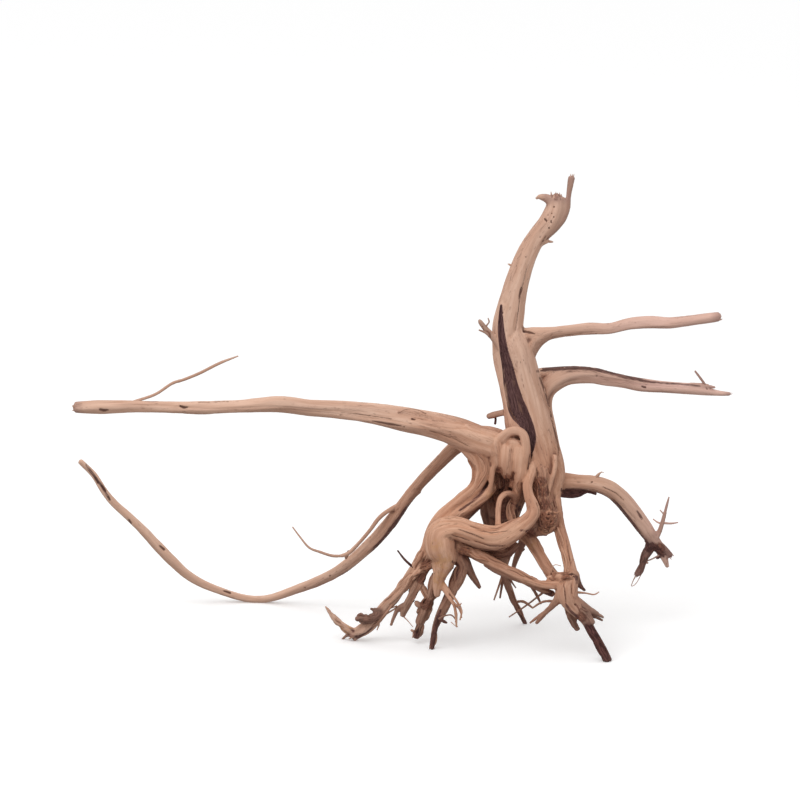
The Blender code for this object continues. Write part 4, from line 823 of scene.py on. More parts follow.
def mesh_from(name, shells):
    """A mesh of closed shells, each given by its places and by blocks of faces with equally many corners."""
    places = np.vstack([shell[0] for shell in shells])
    bases = np.concatenate([[0], np.cumsum([len(shell[0]) for shell in shells])[:-1]])
    faces = [block + base for base, shell in zip(bases, shells) for block in shell[1]]
    corners = np.concatenate([block.ravel() for block in faces])
    sizes = np.concatenate([np.full(len(block), block.shape[1]) for block in faces])
    starts = np.concatenate([[0], np.cumsum(sizes)[:-1]])
    mesh = bpy.data.meshes.new(name)
    mesh.vertices.add(len(places))
    mesh.vertices.foreach_set("co", places.astype(np.float32).ravel())
    mesh.loops.add(len(corners))
    mesh.loops.foreach_set("vertex_index", corners.astype(np.int32))
    mesh.polygons.add(len(sizes))
    mesh.polygons.foreach_set("loop_start", starts.astype(np.int32))
    mesh.update(calc_edges=True)
    mesh.validate()
    return mesh


def link(name, data):
    """A new object in the scene that holds a mesh, a light or a camera."""
    made = bpy.data.objects.new(name, data)
    bpy.context.scene.collection.objects.link(made)
    return made


def apply_modifiers(made):
    """Puts the mesh that the modifiers give in place of the object's own."""
    graph = bpy.context.evaluated_depsgraph_get()
    shaped = bpy.data.meshes.new_from_object(made.evaluated_get(graph))
    made.modifiers.clear()
    made.data = shaped


def places_of(mesh):
    """The vertices' places, one in each row."""
    places = np.empty(len(mesh.vertices) * 3, np.float32)
    mesh.vertices.foreach_get("co", places)
    return places.reshape(-1, 3).astype(float)


def normals_of(mesh):
    """The vertices' normals, one in each row."""
    normals = np.empty(len(mesh.vertices) * 3, np.float32)
    mesh.vertex_normals.foreach_get("vector", normals)
    return normals.reshape(-1, 3).astype(float)


def edges_of(mesh):
    """The edges' two vertices, one edge in each row."""
    edges = np.empty(len(mesh.edges) * 2, np.int32)
    mesh.edges.foreach_get("vertices", edges)
    return edges.reshape(-1, 2)


def settle(mesh, places):
    """Moves the mesh's vertices to the places, and those that would lie under the ground onto it."""
    places[:, 2] = np.maximum(places[:, 2], 0.0)
    mesh.vertices.foreach_set("co", places.astype(np.float32).ravel())
    mesh.update()


def neighbour_mean(values, edges, passes):
    """Each vertex's value replaced, a number of times, by the mean of its neighbours' values and its own."""
    count = len(values)
    links = 1 + np.bincount(edges[:, 0], minlength=count) + np.bincount(edges[:, 1], minlength=count)
    for _ in range(passes):
        total = values.copy()
        for column in range(values.shape[1]):
            total[:, column] += np.bincount(edges[:, 0], values[edges[:, 1], column], count)
            total[:, column] += np.bincount(edges[:, 1], values[edges[:, 0], column], count)
        values = total / links[:, None]
    return values


def outer_shell(mesh):
    """The mesh without the shells round sealed pockets.

    Every vertex takes its neighbours' lowest label until nothing changes, and the largest shell stays.
    """
    edges = edges_of(mesh)
    labels = np.arange(len(mesh.vertices))
    while True:
        low = np.minimum(labels[edges[:, 0]], labels[edges[:, 1]])
        fresh = labels.copy()
        np.minimum.at(fresh, edges[:, 0], low)
        np.minimum.at(fresh, edges[:, 1], low)
        np.minimum.at(fresh, labels[edges[:, 0]], low)
        np.minimum.at(fresh, labels[edges[:, 1]], low)
        fresh = fresh[fresh]
        if (fresh == labels).all():
            break
        labels = fresh
    names, sizes = np.unique(labels, return_counts=True)
    if len(names) == 1:
        return mesh
    kept = labels == names[sizes.argmax()]
    order = np.cumsum(kept) - 1
    corners = np.empty(len(mesh.loops), np.int32)
    mesh.loops.foreach_get("vertex_index", corners)
    starts = np.empty(len(mesh.polygons), np.int32)
    mesh.polygons.foreach_get("loop_start", starts)
    sizes = np.diff(np.append(starts, len(corners)))
    places = places_of(mesh)[kept]
    blocks = []
    for size in np.unique(sizes):
        block = corners[starts[sizes == size][:, None] + np.arange(size)]
        blocks.append(order[block[kept[block[:, 0]]]])
    return mesh_from(mesh.name, [(places, blocks)])


def lattice_slopes(cells, seed):
    """Three repeatable numbers from -1 to 1 for each whole-number cell, read from its mixed bits."""
    scattered = cells * np.array(CELL_SCATTER)
    mixed = scattered[:, 0] ^ scattered[:, 1] ^ scattered[:, 2] ^ (seed * SEED_SCATTER + 7)
    mixed = mixed & LOW_BITS
    mixed = ((mixed ^ (mixed >> 15)) * BIT_MIXERS[0]) & LOW_BITS
    mixed = ((mixed ^ (mixed >> 13)) * BIT_MIXERS[1]) & LOW_BITS
    mixed = mixed ^ (mixed >> 16)
    return np.stack([mixed & 1023, (mixed >> 10) & 1023, (mixed >> 20) & 1023], -1) / 511.5 - 1


def noise(places, seed=0):
    """Smooth noise of about -1 to 1.

    Each corner of a unit lattice has a random slope, and the heights that the eight slopes round a place give
    there are blended with a quintic ease.
    """
    cell = np.floor(places).astype(np.int64)
    part = places - cell
    ease = part**3 * (part * (part * 6 - 15) + 10)
    total = np.zeros(len(places))
    for corner in itertools.product((0, 1), repeat=3):
        weight = np.prod(np.where(np.array(corner) == 1, ease, 1 - ease), axis=1)
        total += weight * ((part - corner) * lattice_slopes(cell + np.array(corner), seed)).sum(1)
    return np.clip(total * NOISE_GAIN, -1, 1)


def ramp(values, low, high):
    """0 below low, 1 above high, and a smooth cubic step between them."""
    t = np.clip((values - low) / (high - low), 0, 1)
    return t * t * (3 - 2 * t)


def survey_position(places):
    """(across, down, back) in millimetres of places in metres: frame_position the other way round."""
    along_y = places[:, 1] / MM + DATUM_TO_MIDDLE
    along_z = places[:, 2] / MM
    height = along_y * math.sin(LEAN) + along_z * math.cos(LEAN)
    back = along_y * math.cos(LEAN) - along_z * math.sin(LEAN)
    return np.stack([places[:, 0] / MM + DATUM_ACROSS, DATUM_ABOVE_GROUND - height, back], axis=1)


def layered(routes):
    """A layer for each route, from 0 to LAYERS - 1, chosen so that few routes near each other share one."""
    layers = []
    for route in routes:
        clash = np.zeros(LAYERS)
        for other, layer in zip(routes, layers):
            clash[layer] += (other.survey(route.points)[0] < NEAR_REACH).sum()
        layers.append(int(clash.argmin()))
    return layers


class Grain:
    """The wood's grain at some places: straightened places in LAYERS layers, and each layer's share.

    A route's weight falls from 1 on its skin to 0 at GRAIN_REACH radii. In each layer the heaviest route
    gives the straightened place, and the layer's share grows with that weight less the next route's, so no
    pattern jumps where one route takes over from another. Girth, stain and groove are the routes' radius,
    darkness and groove depth by their weights, and end is 1 at a broken end and fades along its route.
    """

    def __init__(self, places, routes, layers):
        count = len(places)
        best = np.zeros((count, LAYERS))
        second = np.zeros((count, LAYERS))
        self.straight = np.zeros((count, LAYERS, 3))
        total = np.full(count, NO_WEIGHT)
        self.girth = np.full(count, NO_WEIGHT * 5)
        self.stain = np.zeros(count)
        self.groove = np.zeros(count)
        self.end = np.zeros(count)
        for route, layer in zip(routes, layers):
            reach, place = route.survey(places)
            weight = np.clip((GRAIN_REACH - reach) / (GRAIN_REACH - 1), 0, None) ** 2
            better = weight > best[:, layer]
            second[:, layer] = np.where(better, best[:, layer], np.maximum(second[:, layer], weight))
            best[:, layer] = np.where(better, weight, best[:, layer])
            self.straight[better, layer] = place[better] + pattern_shift(route)
            strong = weight**3
            total += strong
            self.girth += strong * route.radii[route.nearest(places)] / MM
            self.stain += strong * DARKNESS.get(route.name, 0.0)
            self.groove += strong * GROOVED.get(route.name, 0.0)
            if route.name in BROKEN_ENDS:
                to_end = route.travel[-1] / MM - place[:, 2]
                self.end = np.maximum(self.end, (1 - ramp(to_end, *END_FADE)) * (reach < END_REACH))
        self.girth /= total
        self.stain /= total
        self.groove /= total
        share = np.maximum(best - second, 0) ** 2 + LEAST_SHARE
        self.share = share / share.sum(axis=1, keepdims=True)

    def pattern(self, name):
        """A pattern of RELIEF: noise in the straightened places, each layer's times its share, summed."""
        across, along, seed = RELIEF[name]
        fineness = np.array((across, across, along))
        found = [noise(self.straight[:, layer] * fineness, seed) for layer in range(LAYERS)]
        return sum(self.share[:, layer] * found[layer] for layer in range(LAYERS))


def stroke_distance(front, strokes):
    """Distance in millimetres from (across, down) places to the nearest stroke's edge, negative inside it.

    A stroke is a broken line of (across, down, half width), whose half width runs evenly from point to point.
    """
    nearest = np.full(len(front), FAR)
    for stroke in strokes:
        stroke = np.array(stroke, float)
        if len(stroke) == 1:
            stroke = np.vstack([stroke, stroke + [0.01, 0, 0]])
        line, halves = stroke[:, :2], stroke[:, 2]
        margin = halves.max() + FAR
        close = ((front > line.min(axis=0) - margin) & (front < line.max(axis=0) + margin)).all(axis=1)
        spots = front[close]
        for start, end, half, half_end in zip(line, line[1:], halves, halves[1:]):
            step = end - start
            t = np.clip((spots - start) @ step / (step @ step), 0, 1)
            gap = np.linalg.norm(spots - start - t[:, None] * step, axis=1) - half - (half_end - half) * t
            nearest[close] = np.minimum(nearest[close], gap)
    return nearest


def seen_in_front(survey, normals, cell=2.5, depth=7.0):
    """Which vertices the front shows.

    They are turned forwards, and lie within a depth of the nearest one in their square cell of the front.
    """
    column = ((survey[:, 0] + FRONT_MARGIN) / cell).astype(int)
    row = ((survey[:, 1] + FRONT_MARGIN) / cell).astype(int)
    index = row * ROW_LENGTH + column
    nearest = np.full(index.max() + 1, np.inf)
    np.minimum.at(nearest, index, survey[:, 2])
    facing = -normals[:, 1] * math.cos(LEAN) + normals[:, 2] * math.sin(LEAN)
    return (survey[:, 2] < nearest[index] + depth) & (facing > -0.05)


def shut_in(places, normals, cell=2.6 * MM, near=3, far=11):
    """How much of the open air each place lacks, from 0 in the open to 1 shut in by other wood.

    The skin marks the cells of a grid that it passes through. From each place, straight lines go out along
    the 26 ways to a cell's neighbours, from near to far in cells, and the share of those that meet a marked
    cell is weighed by how far they face out.
    """
    low = places.min(axis=0) - (far + 3) * cell
    shape = ((places.max(axis=0) - low) / cell).astype(int) + far + 4
    marked = np.zeros(shape, bool)
    marked[tuple(((places - low) / cell).astype(int).T)] = True
    blocked = np.zeros(len(places))
    weights = np.zeros(len(places))
    for way in itertools.product((-1, 0, 1), repeat=3):
        length = math.sqrt(sum(step * step for step in way))
        if not length:
            continue
        way = np.array(way) / length
        facing = np.clip(normals @ way - LEAST_FACING, 0, None)
        met = np.zeros(len(places), bool)
        for step in range(near, far + 1):
            cells = ((places + normals * cell + way * step * cell - low) / cell).astype(int)
            met |= marked[tuple(cells.T)]
        blocked += facing * met
        weights += facing
    return blocked / weights


def spots_strength(survey, spots):
    """The strongest of soft round spots, each (across, down, back, radius).

    A spot is 1 within SPOT_CORE of its radius and 0 at its radius, and reaches further back than across.
    """
    strength = np.zeros(len(survey))
    for across, down, back, radius in spots:
        offset = (survey - np.array([across, down, back])) * np.array(SPOT_SCALE)
        distance = np.linalg.norm(offset, axis=1)
        strength = np.maximum(strength, 1 - ramp(distance, SPOT_CORE * radius, radius))
    return strength


def write_attribute(mesh, name, *columns):
    """Stores a vector at each vertex, given as one array of vectors or as three columns."""
    values = columns[0] if len(columns) == 1 else np.stack(columns, axis=1)
    attribute = mesh.attributes.new(name, "FLOAT_VECTOR", "POINT")
    attribute.data.foreach_set("vector", values.astype(np.float32).ravel())


def thick_part(route):
    """How many samples from the route's start are thick enough to be fused into the skin."""
    thinner = np.nonzero(route.radii < THICK_TWIG * MM)[0]
    return int(thinner[0]) if len(thinner) else len(route.radii)


def splinters(route, count, length, radius):
    """Short pointed routes round a broken end, which lean out a little, each at a random place on the rim."""
    rng = seeded(route.name + "_splinters")
    end = route.points[-1]
    share = np.linspace(0, 1, 6)
    made = []
    for number in range(count):
        angle = 2 * math.pi * (number + rng.uniform(-0.3, 0.3)) / count
        out = math.cos(angle) * route.first[-1] + math.sin(angle) * route.second[-1]
        foot = end + out * route.radii[-1] * rng.uniform(0.45, 0.85) - route.along[-1] * SPLINTER_ROOT * MM
        reach = length * rng.uniform(0.5, 1.3) * MM
        tip = foot + route.along[-1] * (reach + SPLINTER_ROOT * MM) + out * rng.uniform(-0.1, 0.25) * reach
        radii = radius * MM * rng.uniform(0.8, 1.3) * (1 - 0.8 * share**1.3)
        made.append(Route(f"{route.name}_splinter_{number}", foot + share[:, None] * (tip - foot), radii))
    return made


def ground_slab():
    """A box under z = 0, which trims the root ends to the flats that they stand on."""
    half = GROUND_HALF
    places = np.array(list(itertools.product((-half, half), (-half, half), (-GROUND_DEPTH, 0.0))))
    sides = np.array([(0, 1, 3, 2), (4, 6, 7, 5), (0, 4, 5, 1), (2, 3, 7, 6), (0, 2, 6, 4), (1, 5, 7, 3)])
    return places, [sides]


def strands_on(route, count, length, radius):
    """Strands along a route's skin: each follows it, turns a little, and sinks in at both ends."""
    rng = seeded(f"{route.name}_{count}_strands")
    share = np.linspace(0, 1, 14)
    from_middle = 2 * share - 1
    made = []
    for number in range(count):
        reach = length * rng.uniform(0.5, 1.4) * MM
        travel = rng.uniform(0, 1) * max(route.travel[-1] - reach, 0) + share * reach
        angle = rng.uniform(0, 2 * math.pi) + rng.normal(0, 0.6) * share
        angle += 0.15 * np.sin(rng.uniform(4, 12) * share + rng.uniform(0, 6))
        out = np.cos(angle)[:, None] * route.between(route.first, travel)
        out += np.sin(angle)[:, None] * route.between(route.second, travel)
        lifted = radius * MM * (0.5 - 1.9 * from_middle**4)
        depth = np.interp(travel, route.travel, route.radii) + lifted
        radii = radius * MM * rng.uniform(0.7, 1.25) * (1 - 0.45 * from_middle**2)
        places = route.between(route.points, travel) + out * depth[:, None]
        made.append(Route(f"{route.name}{STRAND}{count}_{number}", places, radii))
    return made


def curls_round(middle, count, length, radius):
    """A tangle of curled strands on a burl: arcs that start on its skin in front and bend back into it."""
    rng = seeded(f"curls_{count}")
    across, down, back, wide, tall = middle
    centre = frame_position(np.array(across), np.array(down), np.array(back))
    from_middle = np.linspace(-1, 1, 12)
    made = []
    for number in range(count):
        way = rng.normal(size=3)
        way[1] = -abs(way[1])
        way /= np.linalg.norm(way)
        first = np.cross(way, rng.normal(size=3))
        first /= np.linalg.norm(first)
        second = np.cross(first, way) * rng.uniform(0.4, 1) - way * rng.uniform(0, 0.9)
        bend = rng.uniform(1.8, 4.5)
        turn = np.linspace(-0.5, 0.5, 12) * length * rng.uniform(0.5, 1.2) / bend
        skin = centre + way * np.array([wide, wide, tall]) * MM
        arc = np.sin(turn)[:, None] * first + (1 - np.cos(turn))[:, None] * second
        radii = radius * MM * rng.uniform(0.7, 1.3) * (1 - 0.4 * from_middle**2)
        made.append(Route(f"{CURL}_{count}_{number}", skin + arc * bend * MM, radii))
    return made


def fused_wood(sizes, limbs, twigs, carvings):
    """The limbs and thick twig roots in one skin: tubes remeshed on a fine grid, smoothed, and carved."""
    cell = sizes.cell * 1.0
    shells = [tube(route, LIMB_SIDES, LIMB_LOBES, sizes.rounded_off) for route in limbs]
    for route in twigs:
        shells.append(tube(route, TWIG_SIDES, TWIG_LOBES, TWIG_ADDED * MM, thick_part(route)))
    wood = link("wood", mesh_from("wood", shells))
    fuse = wood.modifiers.new("fuse", "REMESH")
    fuse.mode = "VOXEL"
    fuse.voxel_size = cell
    apply_modifiers(wood)
    wood.data = outer_shell(wood.data)
    rounding = wood.modifiers.new("rounding", "SMOOTH")
    rounding.factor = 0.5
    rounding.iterations = round(sizes.rounding / (cell / MM) ** 2)
    cutting = [tube(route, CARVING_SIDES, CARVING_LOBES) for route in carvings]
    cutters = link("cutters", mesh_from("cutters", cutting + [ground_slab()]))
    cut = wood.modifiers.new("carve", "BOOLEAN")
    cut.operation = "DIFFERENCE"
    cut.object = cutters
    cut.solver = "MANIFOLD"
    apply_modifiers(wood)
    bpy.data.objects.remove(cutters)
    return wood


def hollow_distance(places, carvings):
    """Millimetres from the nearest carving's skin, negative inside it."""
    distance = np.full(len(places), FAR)
    for route in carvings:
        reach, _ = route.survey(places)
        distance = np.minimum(distance, (reach - 1.0) * route.radii[route.nearest(places)] / MM)
    return distance


def front_strokes(survey, normals):
    """Millimetres to the nearest crack and to the nearest dark strip, of the skin that the front shows."""
    shown = seen_in_front(survey, normals)
    found = []
    for strokes in (CRACKS, STAINS):
        distance = np.full(len(survey), FAR)
        distance[shown] = stroke_distance(survey[shown, :2], strokes)
        found.append(distance)
    return found


def raise_grain(mesh, sizes, routes, layers, carvings):
    """Moves the skin along its normals by flutes, fibres, seams, cracks and knobs.

    Flutes are broad noise along the grain, fibres are fine noise, and a crack runs where a third noise
    crosses 0, if a slow one lets it. These grow with the wood's girth. Grooved limbs have deeper seams where
    a further noise crosses 0. Rough spots add lumps that follow no grain, and drawn cracks and dark strips
    are sunk. In the carved hollows the relief only rises.
    """
    places = places_of(mesh)
    normals = normals_of(mesh)
    grain = Grain(places, routes, layers)
    survey = survey_position(places)
    rough = spots_strength(survey, ROUGH_SPOTS)
    cuts, dark = front_strokes(survey, normals)
    girth = np.clip(grain.girth / FULL_GIRTH, 0.18, 1.0)
    flutes = grain.pattern("flutes")
    fibres = grain.pattern("fibres")
    allowed = ramp(grain.pattern("crack patches"), 0.02, 0.3)
    cracks = (1 - ramp(np.abs(grain.pattern("crack lines")), 0.0, 0.10)) * allowed
    lumps = noise(places / MM * 0.22, 5) + 0.6 * noise(places / MM * 0.5, 6)
    height = girth * (sizes.flutes * flutes + sizes.fibres * fibres) - np.sqrt(girth) * sizes.cracks * cracks
    shreds = grain.pattern("shreds")
    seams = sizes.grooves * (1 - ramp(np.abs(grain.pattern("seams")), 0.0, 0.16))
    height += grain.groove * (0.4 * sizes.grooves * shreds - seams)
    bumps = sizes.bumps * noise(places / MM * 0.09, 7)
    height += rough * (sizes.knobs * lumps + sizes.shreds * shreds) + bumps
    sunk = sizes.cuts * (1 - ramp(cuts, -0.7, 0.5))
    height -= sunk + 0.4 * sizes.cuts * (1 - ramp(dark, -1.0, 0.6))
    inside = 1 - ramp(hollow_distance(places, carvings), 0.05, 0.5)
    height += inside * (np.abs(height) + 0.1 * MM - height)
    settle(mesh, places + normals * height[:, None])


def brownness(survey):
    """How brown the wood is: 1 round the crown's foot, 0 where bleached, and down to -1 where rosy."""
    offset = np.linalg.norm(survey[:, :2] - np.array(BROWN_MIDDLE), axis=1)
    brown = 1 - ramp(offset, *BROWN_REACH)
    return brown - (1 - brown) * ramp(survey[:, 0], *ROSY_FROM)


def mark_wood(mesh, routes, layers, carvings):
    """Stores what the wood's finish reads: straightened places, their shares, and four sets of three fields.

    fields: distances to the stem's hollow, the cracks and the dark strips. tones: cavity, which also darkens
    creases with painted shade, stain and broken end. spots: rough bark, ochre and girth. setting: how shut in
    and how far it faces up, which the finish turns into painted shade, and how brown it is.
    """
    places = places_of(mesh)
    normals = normals_of(mesh)
    edges = edges_of(mesh)
    survey = survey_position(places)
    grain = Grain(places, routes, layers)
    cuts, dark = front_strokes(survey, normals)
    furrow = [route for route in carvings if route.name == "stem_hollow"]
    smooth = neighbour_mean(places, edges, passes=10)
    cavity = ((smooth - places) * normals).sum(axis=1) / (DEEP_CAVITY * MM)
    cavity = neighbour_mean(cavity[:, None], edges, passes=1)[:, 0]
    broad = neighbour_mean(normals, edges, passes=6)
    broad /= np.linalg.norm(broad, axis=1, keepdims=True) + 1e-9
    closed = neighbour_mean(shut_in(places, broad)[:, None], edges, passes=4)[:, 0]
    rough = spots_strength(survey, ROUGH_SPOTS)
    ochre = spots_strength(survey, OCHRE_SPOTS)
    girth = np.clip(grain.girth / FULL_GIRTH, 0, 1)
    for layer in range(LAYERS):
        write_attribute(mesh, f"grain_{layer}", grain.straight[:, layer])
    write_attribute(mesh, "share", grain.share)
    write_attribute(mesh, "fields", hollow_distance(places, furrow), cuts, dark)
    write_attribute(mesh, "tones", cavity, grain.stain, grain.end)
    write_attribute(mesh, "spots", rough, ochre, girth)
    write_attribute(mesh, "setting", closed, broad[:, 2], brownness(survey))


def thin_twigs(routes):
    """One mesh of fine tubes for the routes, each slimmer than its fused root so that it comes out of it.

    It holds the same attributes as the wood. A tube swells and narrows a little by noise along it.
    """
    shells = []
    straight = []
    stain = []
    closed = []
    for number, route in enumerate(routes):
        still = np.zeros(len(route.travel))
        swelling = noise(np.stack([route.travel / MM * 0.3, still + number, still], 1))
        radii = np.minimum(route.radii, (THICK_TWIG - 0.25) * MM) * (1 + 0.12 * swelling)
        shell = tube(Route(route.name, route.points, radii), ROOTLET_SIDES, TWIG_LOBES)
        parent, on_skin, _ = route.name.partition(STRAND)
        parent = CURL if parent.startswith(CURL) else parent
        shells.append(shell)
        straight.append(shell[2] + pattern_shift(route))
        stain.append(np.full(len(shell[0]), DARKNESS.get(parent, 0.15)))
        # Strands on the skin and the burl's curls are taken as shut in, which the finish paints as shade.
        closed.append(np.full(len(shell[0]), SKIN_SHADE if on_skin or parent == CURL else 0.0))
    straight = np.vstack(straight)
    stain = np.concatenate(stain)
    closed = np.concatenate(closed)
    mesh = mesh_from("rootlets", shells)
    settle(mesh, places_of(mesh))
    survey = survey_position(places_of(mesh))
    none = np.zeros(len(stain))
    rough = closed / SKIN_SHADE * spots_strength(survey, ROUGH_SPOTS)
    ochre = spots_strength(survey, OCHRE_SPOTS)
    upwards = normals_of(mesh)[:, 2]
    for layer in range(LAYERS):
        write_attribute(mesh, f"grain_{layer}", straight)
    write_attribute(mesh, "share", none + 1, none, none)
    write_attribute(mesh, "fields", none + FAR, none + FAR, none + FAR)
    write_attribute(mesh, "tones", none, stain, none)
    write_attribute(mesh, "spots", rough, ochre, none + 0.1)
    write_attribute(mesh, "setting", closed, upwards, brownness(survey))
    return mesh


class Signal:
    """A shader socket in an expression: each operation adds its Math node."""

    def __init__(self, recipe, socket):
        self.recipe = recipe
        self.socket = socket

    def __add__(self, other):
        return self.recipe.math("ADD", self, other)

    __radd__ = __add__

    def __mul__(self, other):
        return self.recipe.math("MULTIPLY", self, other)

    __rmul__ = __mul__

    def __sub__(self, other):
        return self.recipe.math("SUBTRACT", self, other)

    def __rsub__(self, other):
        return self.recipe.math("SUBTRACT", other, self)

    def absolute(self):
        """Without its sign."""
        return self.recipe.math("ABSOLUTE", self)

    def clamped(self):
        """Kept from 0 to 1."""
        return self.recipe.math("MAXIMUM", self.recipe.math("MINIMUM", self, 1.0), 0.0)

    def step(self, low, high):
        """0 below low, 1 above high, and a smooth step between them."""
        settings = {"interpolation_type": "SMOOTHSTEP"}
        inputs = {"Value": self, "From Min": low, "From Max": high}
        return self.recipe.signal("ShaderNodeMapRange", "Result", settings, inputs)


class Recipe:
    """The nodes of a material or of the world, with its main shader."""

    def __init__(self, holder, shader):
        holder.use_nodes = True
        self.nodes = holder.node_tree.nodes
        self.links = holder.node_tree.links
        self.shader = self.nodes[shader]

    def add(self, kind, settings=None, inputs=None):
        """A node of a kind.

        Its settings are made first, a ramp's as stops of (position, colour), and then its sockets get their
        values or links, by order or by name.
        """
        node = self.nodes.new(kind)
        for key, value in (settings or {}).items():
            if key == "stops":
                set_stops(node.color_ramp.elements, value)
            else:
                setattr(node, key, value)
        inputs = inputs or {}
        pairs = inputs.items() if isinstance(inputs, dict) else enumerate(inputs)
        for key, value in pairs:
            self.feed(node.inputs[key], value)
        return node

    def feed(self, socket, value):
        """Links a signal to the socket, or sets it to a value."""
        if isinstance(value, Signal):
            self.links.new(value.socket, socket)
        else:
            socket.default_value = value

    def finish(self, inputs):
        """Gives the main shader's sockets their values or links."""
        for key, value in inputs.items():
            self.feed(self.shader.inputs[key], value)

    def signal(self, kind, output, settings=None, inputs=None):
        """A new node's output, by order or by name."""
        return Signal(self, self.add(kind, settings, inputs).outputs[output])

    def math(self, operation, *terms):
        """A Math node's output."""
        return self.signal("ShaderNodeMath", 0, {"operation": operation}, terms)

    def vector(self, name):
        """A vector attribute."""
        return self.signal("ShaderNodeAttribute", "Vector", {"attribute_name": name})

    def parts(self, name):
        """The three numbers of a vector attribute."""
        split = self.add("ShaderNodeSeparateXYZ", inputs=[self.vector(name)])
        return [Signal(self, output) for output in split.outputs]

    def mix(self, factor, first, second):
        """The second colour over the first by a factor."""
        inputs = {MIX_FACTOR: factor, MIX_FIRST: first, MIX_SECOND: second}
        return self.signal("ShaderNodeMix", MIX_COLOUR, {"data_type": "RGBA"}, inputs)

    def noise(self, vector, fineness, detail, roughness):
        """Noise of 0 to 1 on a vector times a fineness for each axis."""
        scaled = self.signal("ShaderNodeVectorMath", 0, {"operation": "MULTIPLY"}, [vector, fineness])
        inputs = {"Vector": scaled, "Scale": 1.0, "Detail": detail, "Roughness": roughness}
        return self.signal("ShaderNodeTexNoise", 0, inputs=inputs)


def set_stops(elements, stops):
    """Gives a colour ramp its stops, each (position, colour)."""
    while len(elements) < len(stops):
        elements.new(0.5)
    for element, (position, colour) in zip(elements, stops):
        element.position = position
        element.color = colour


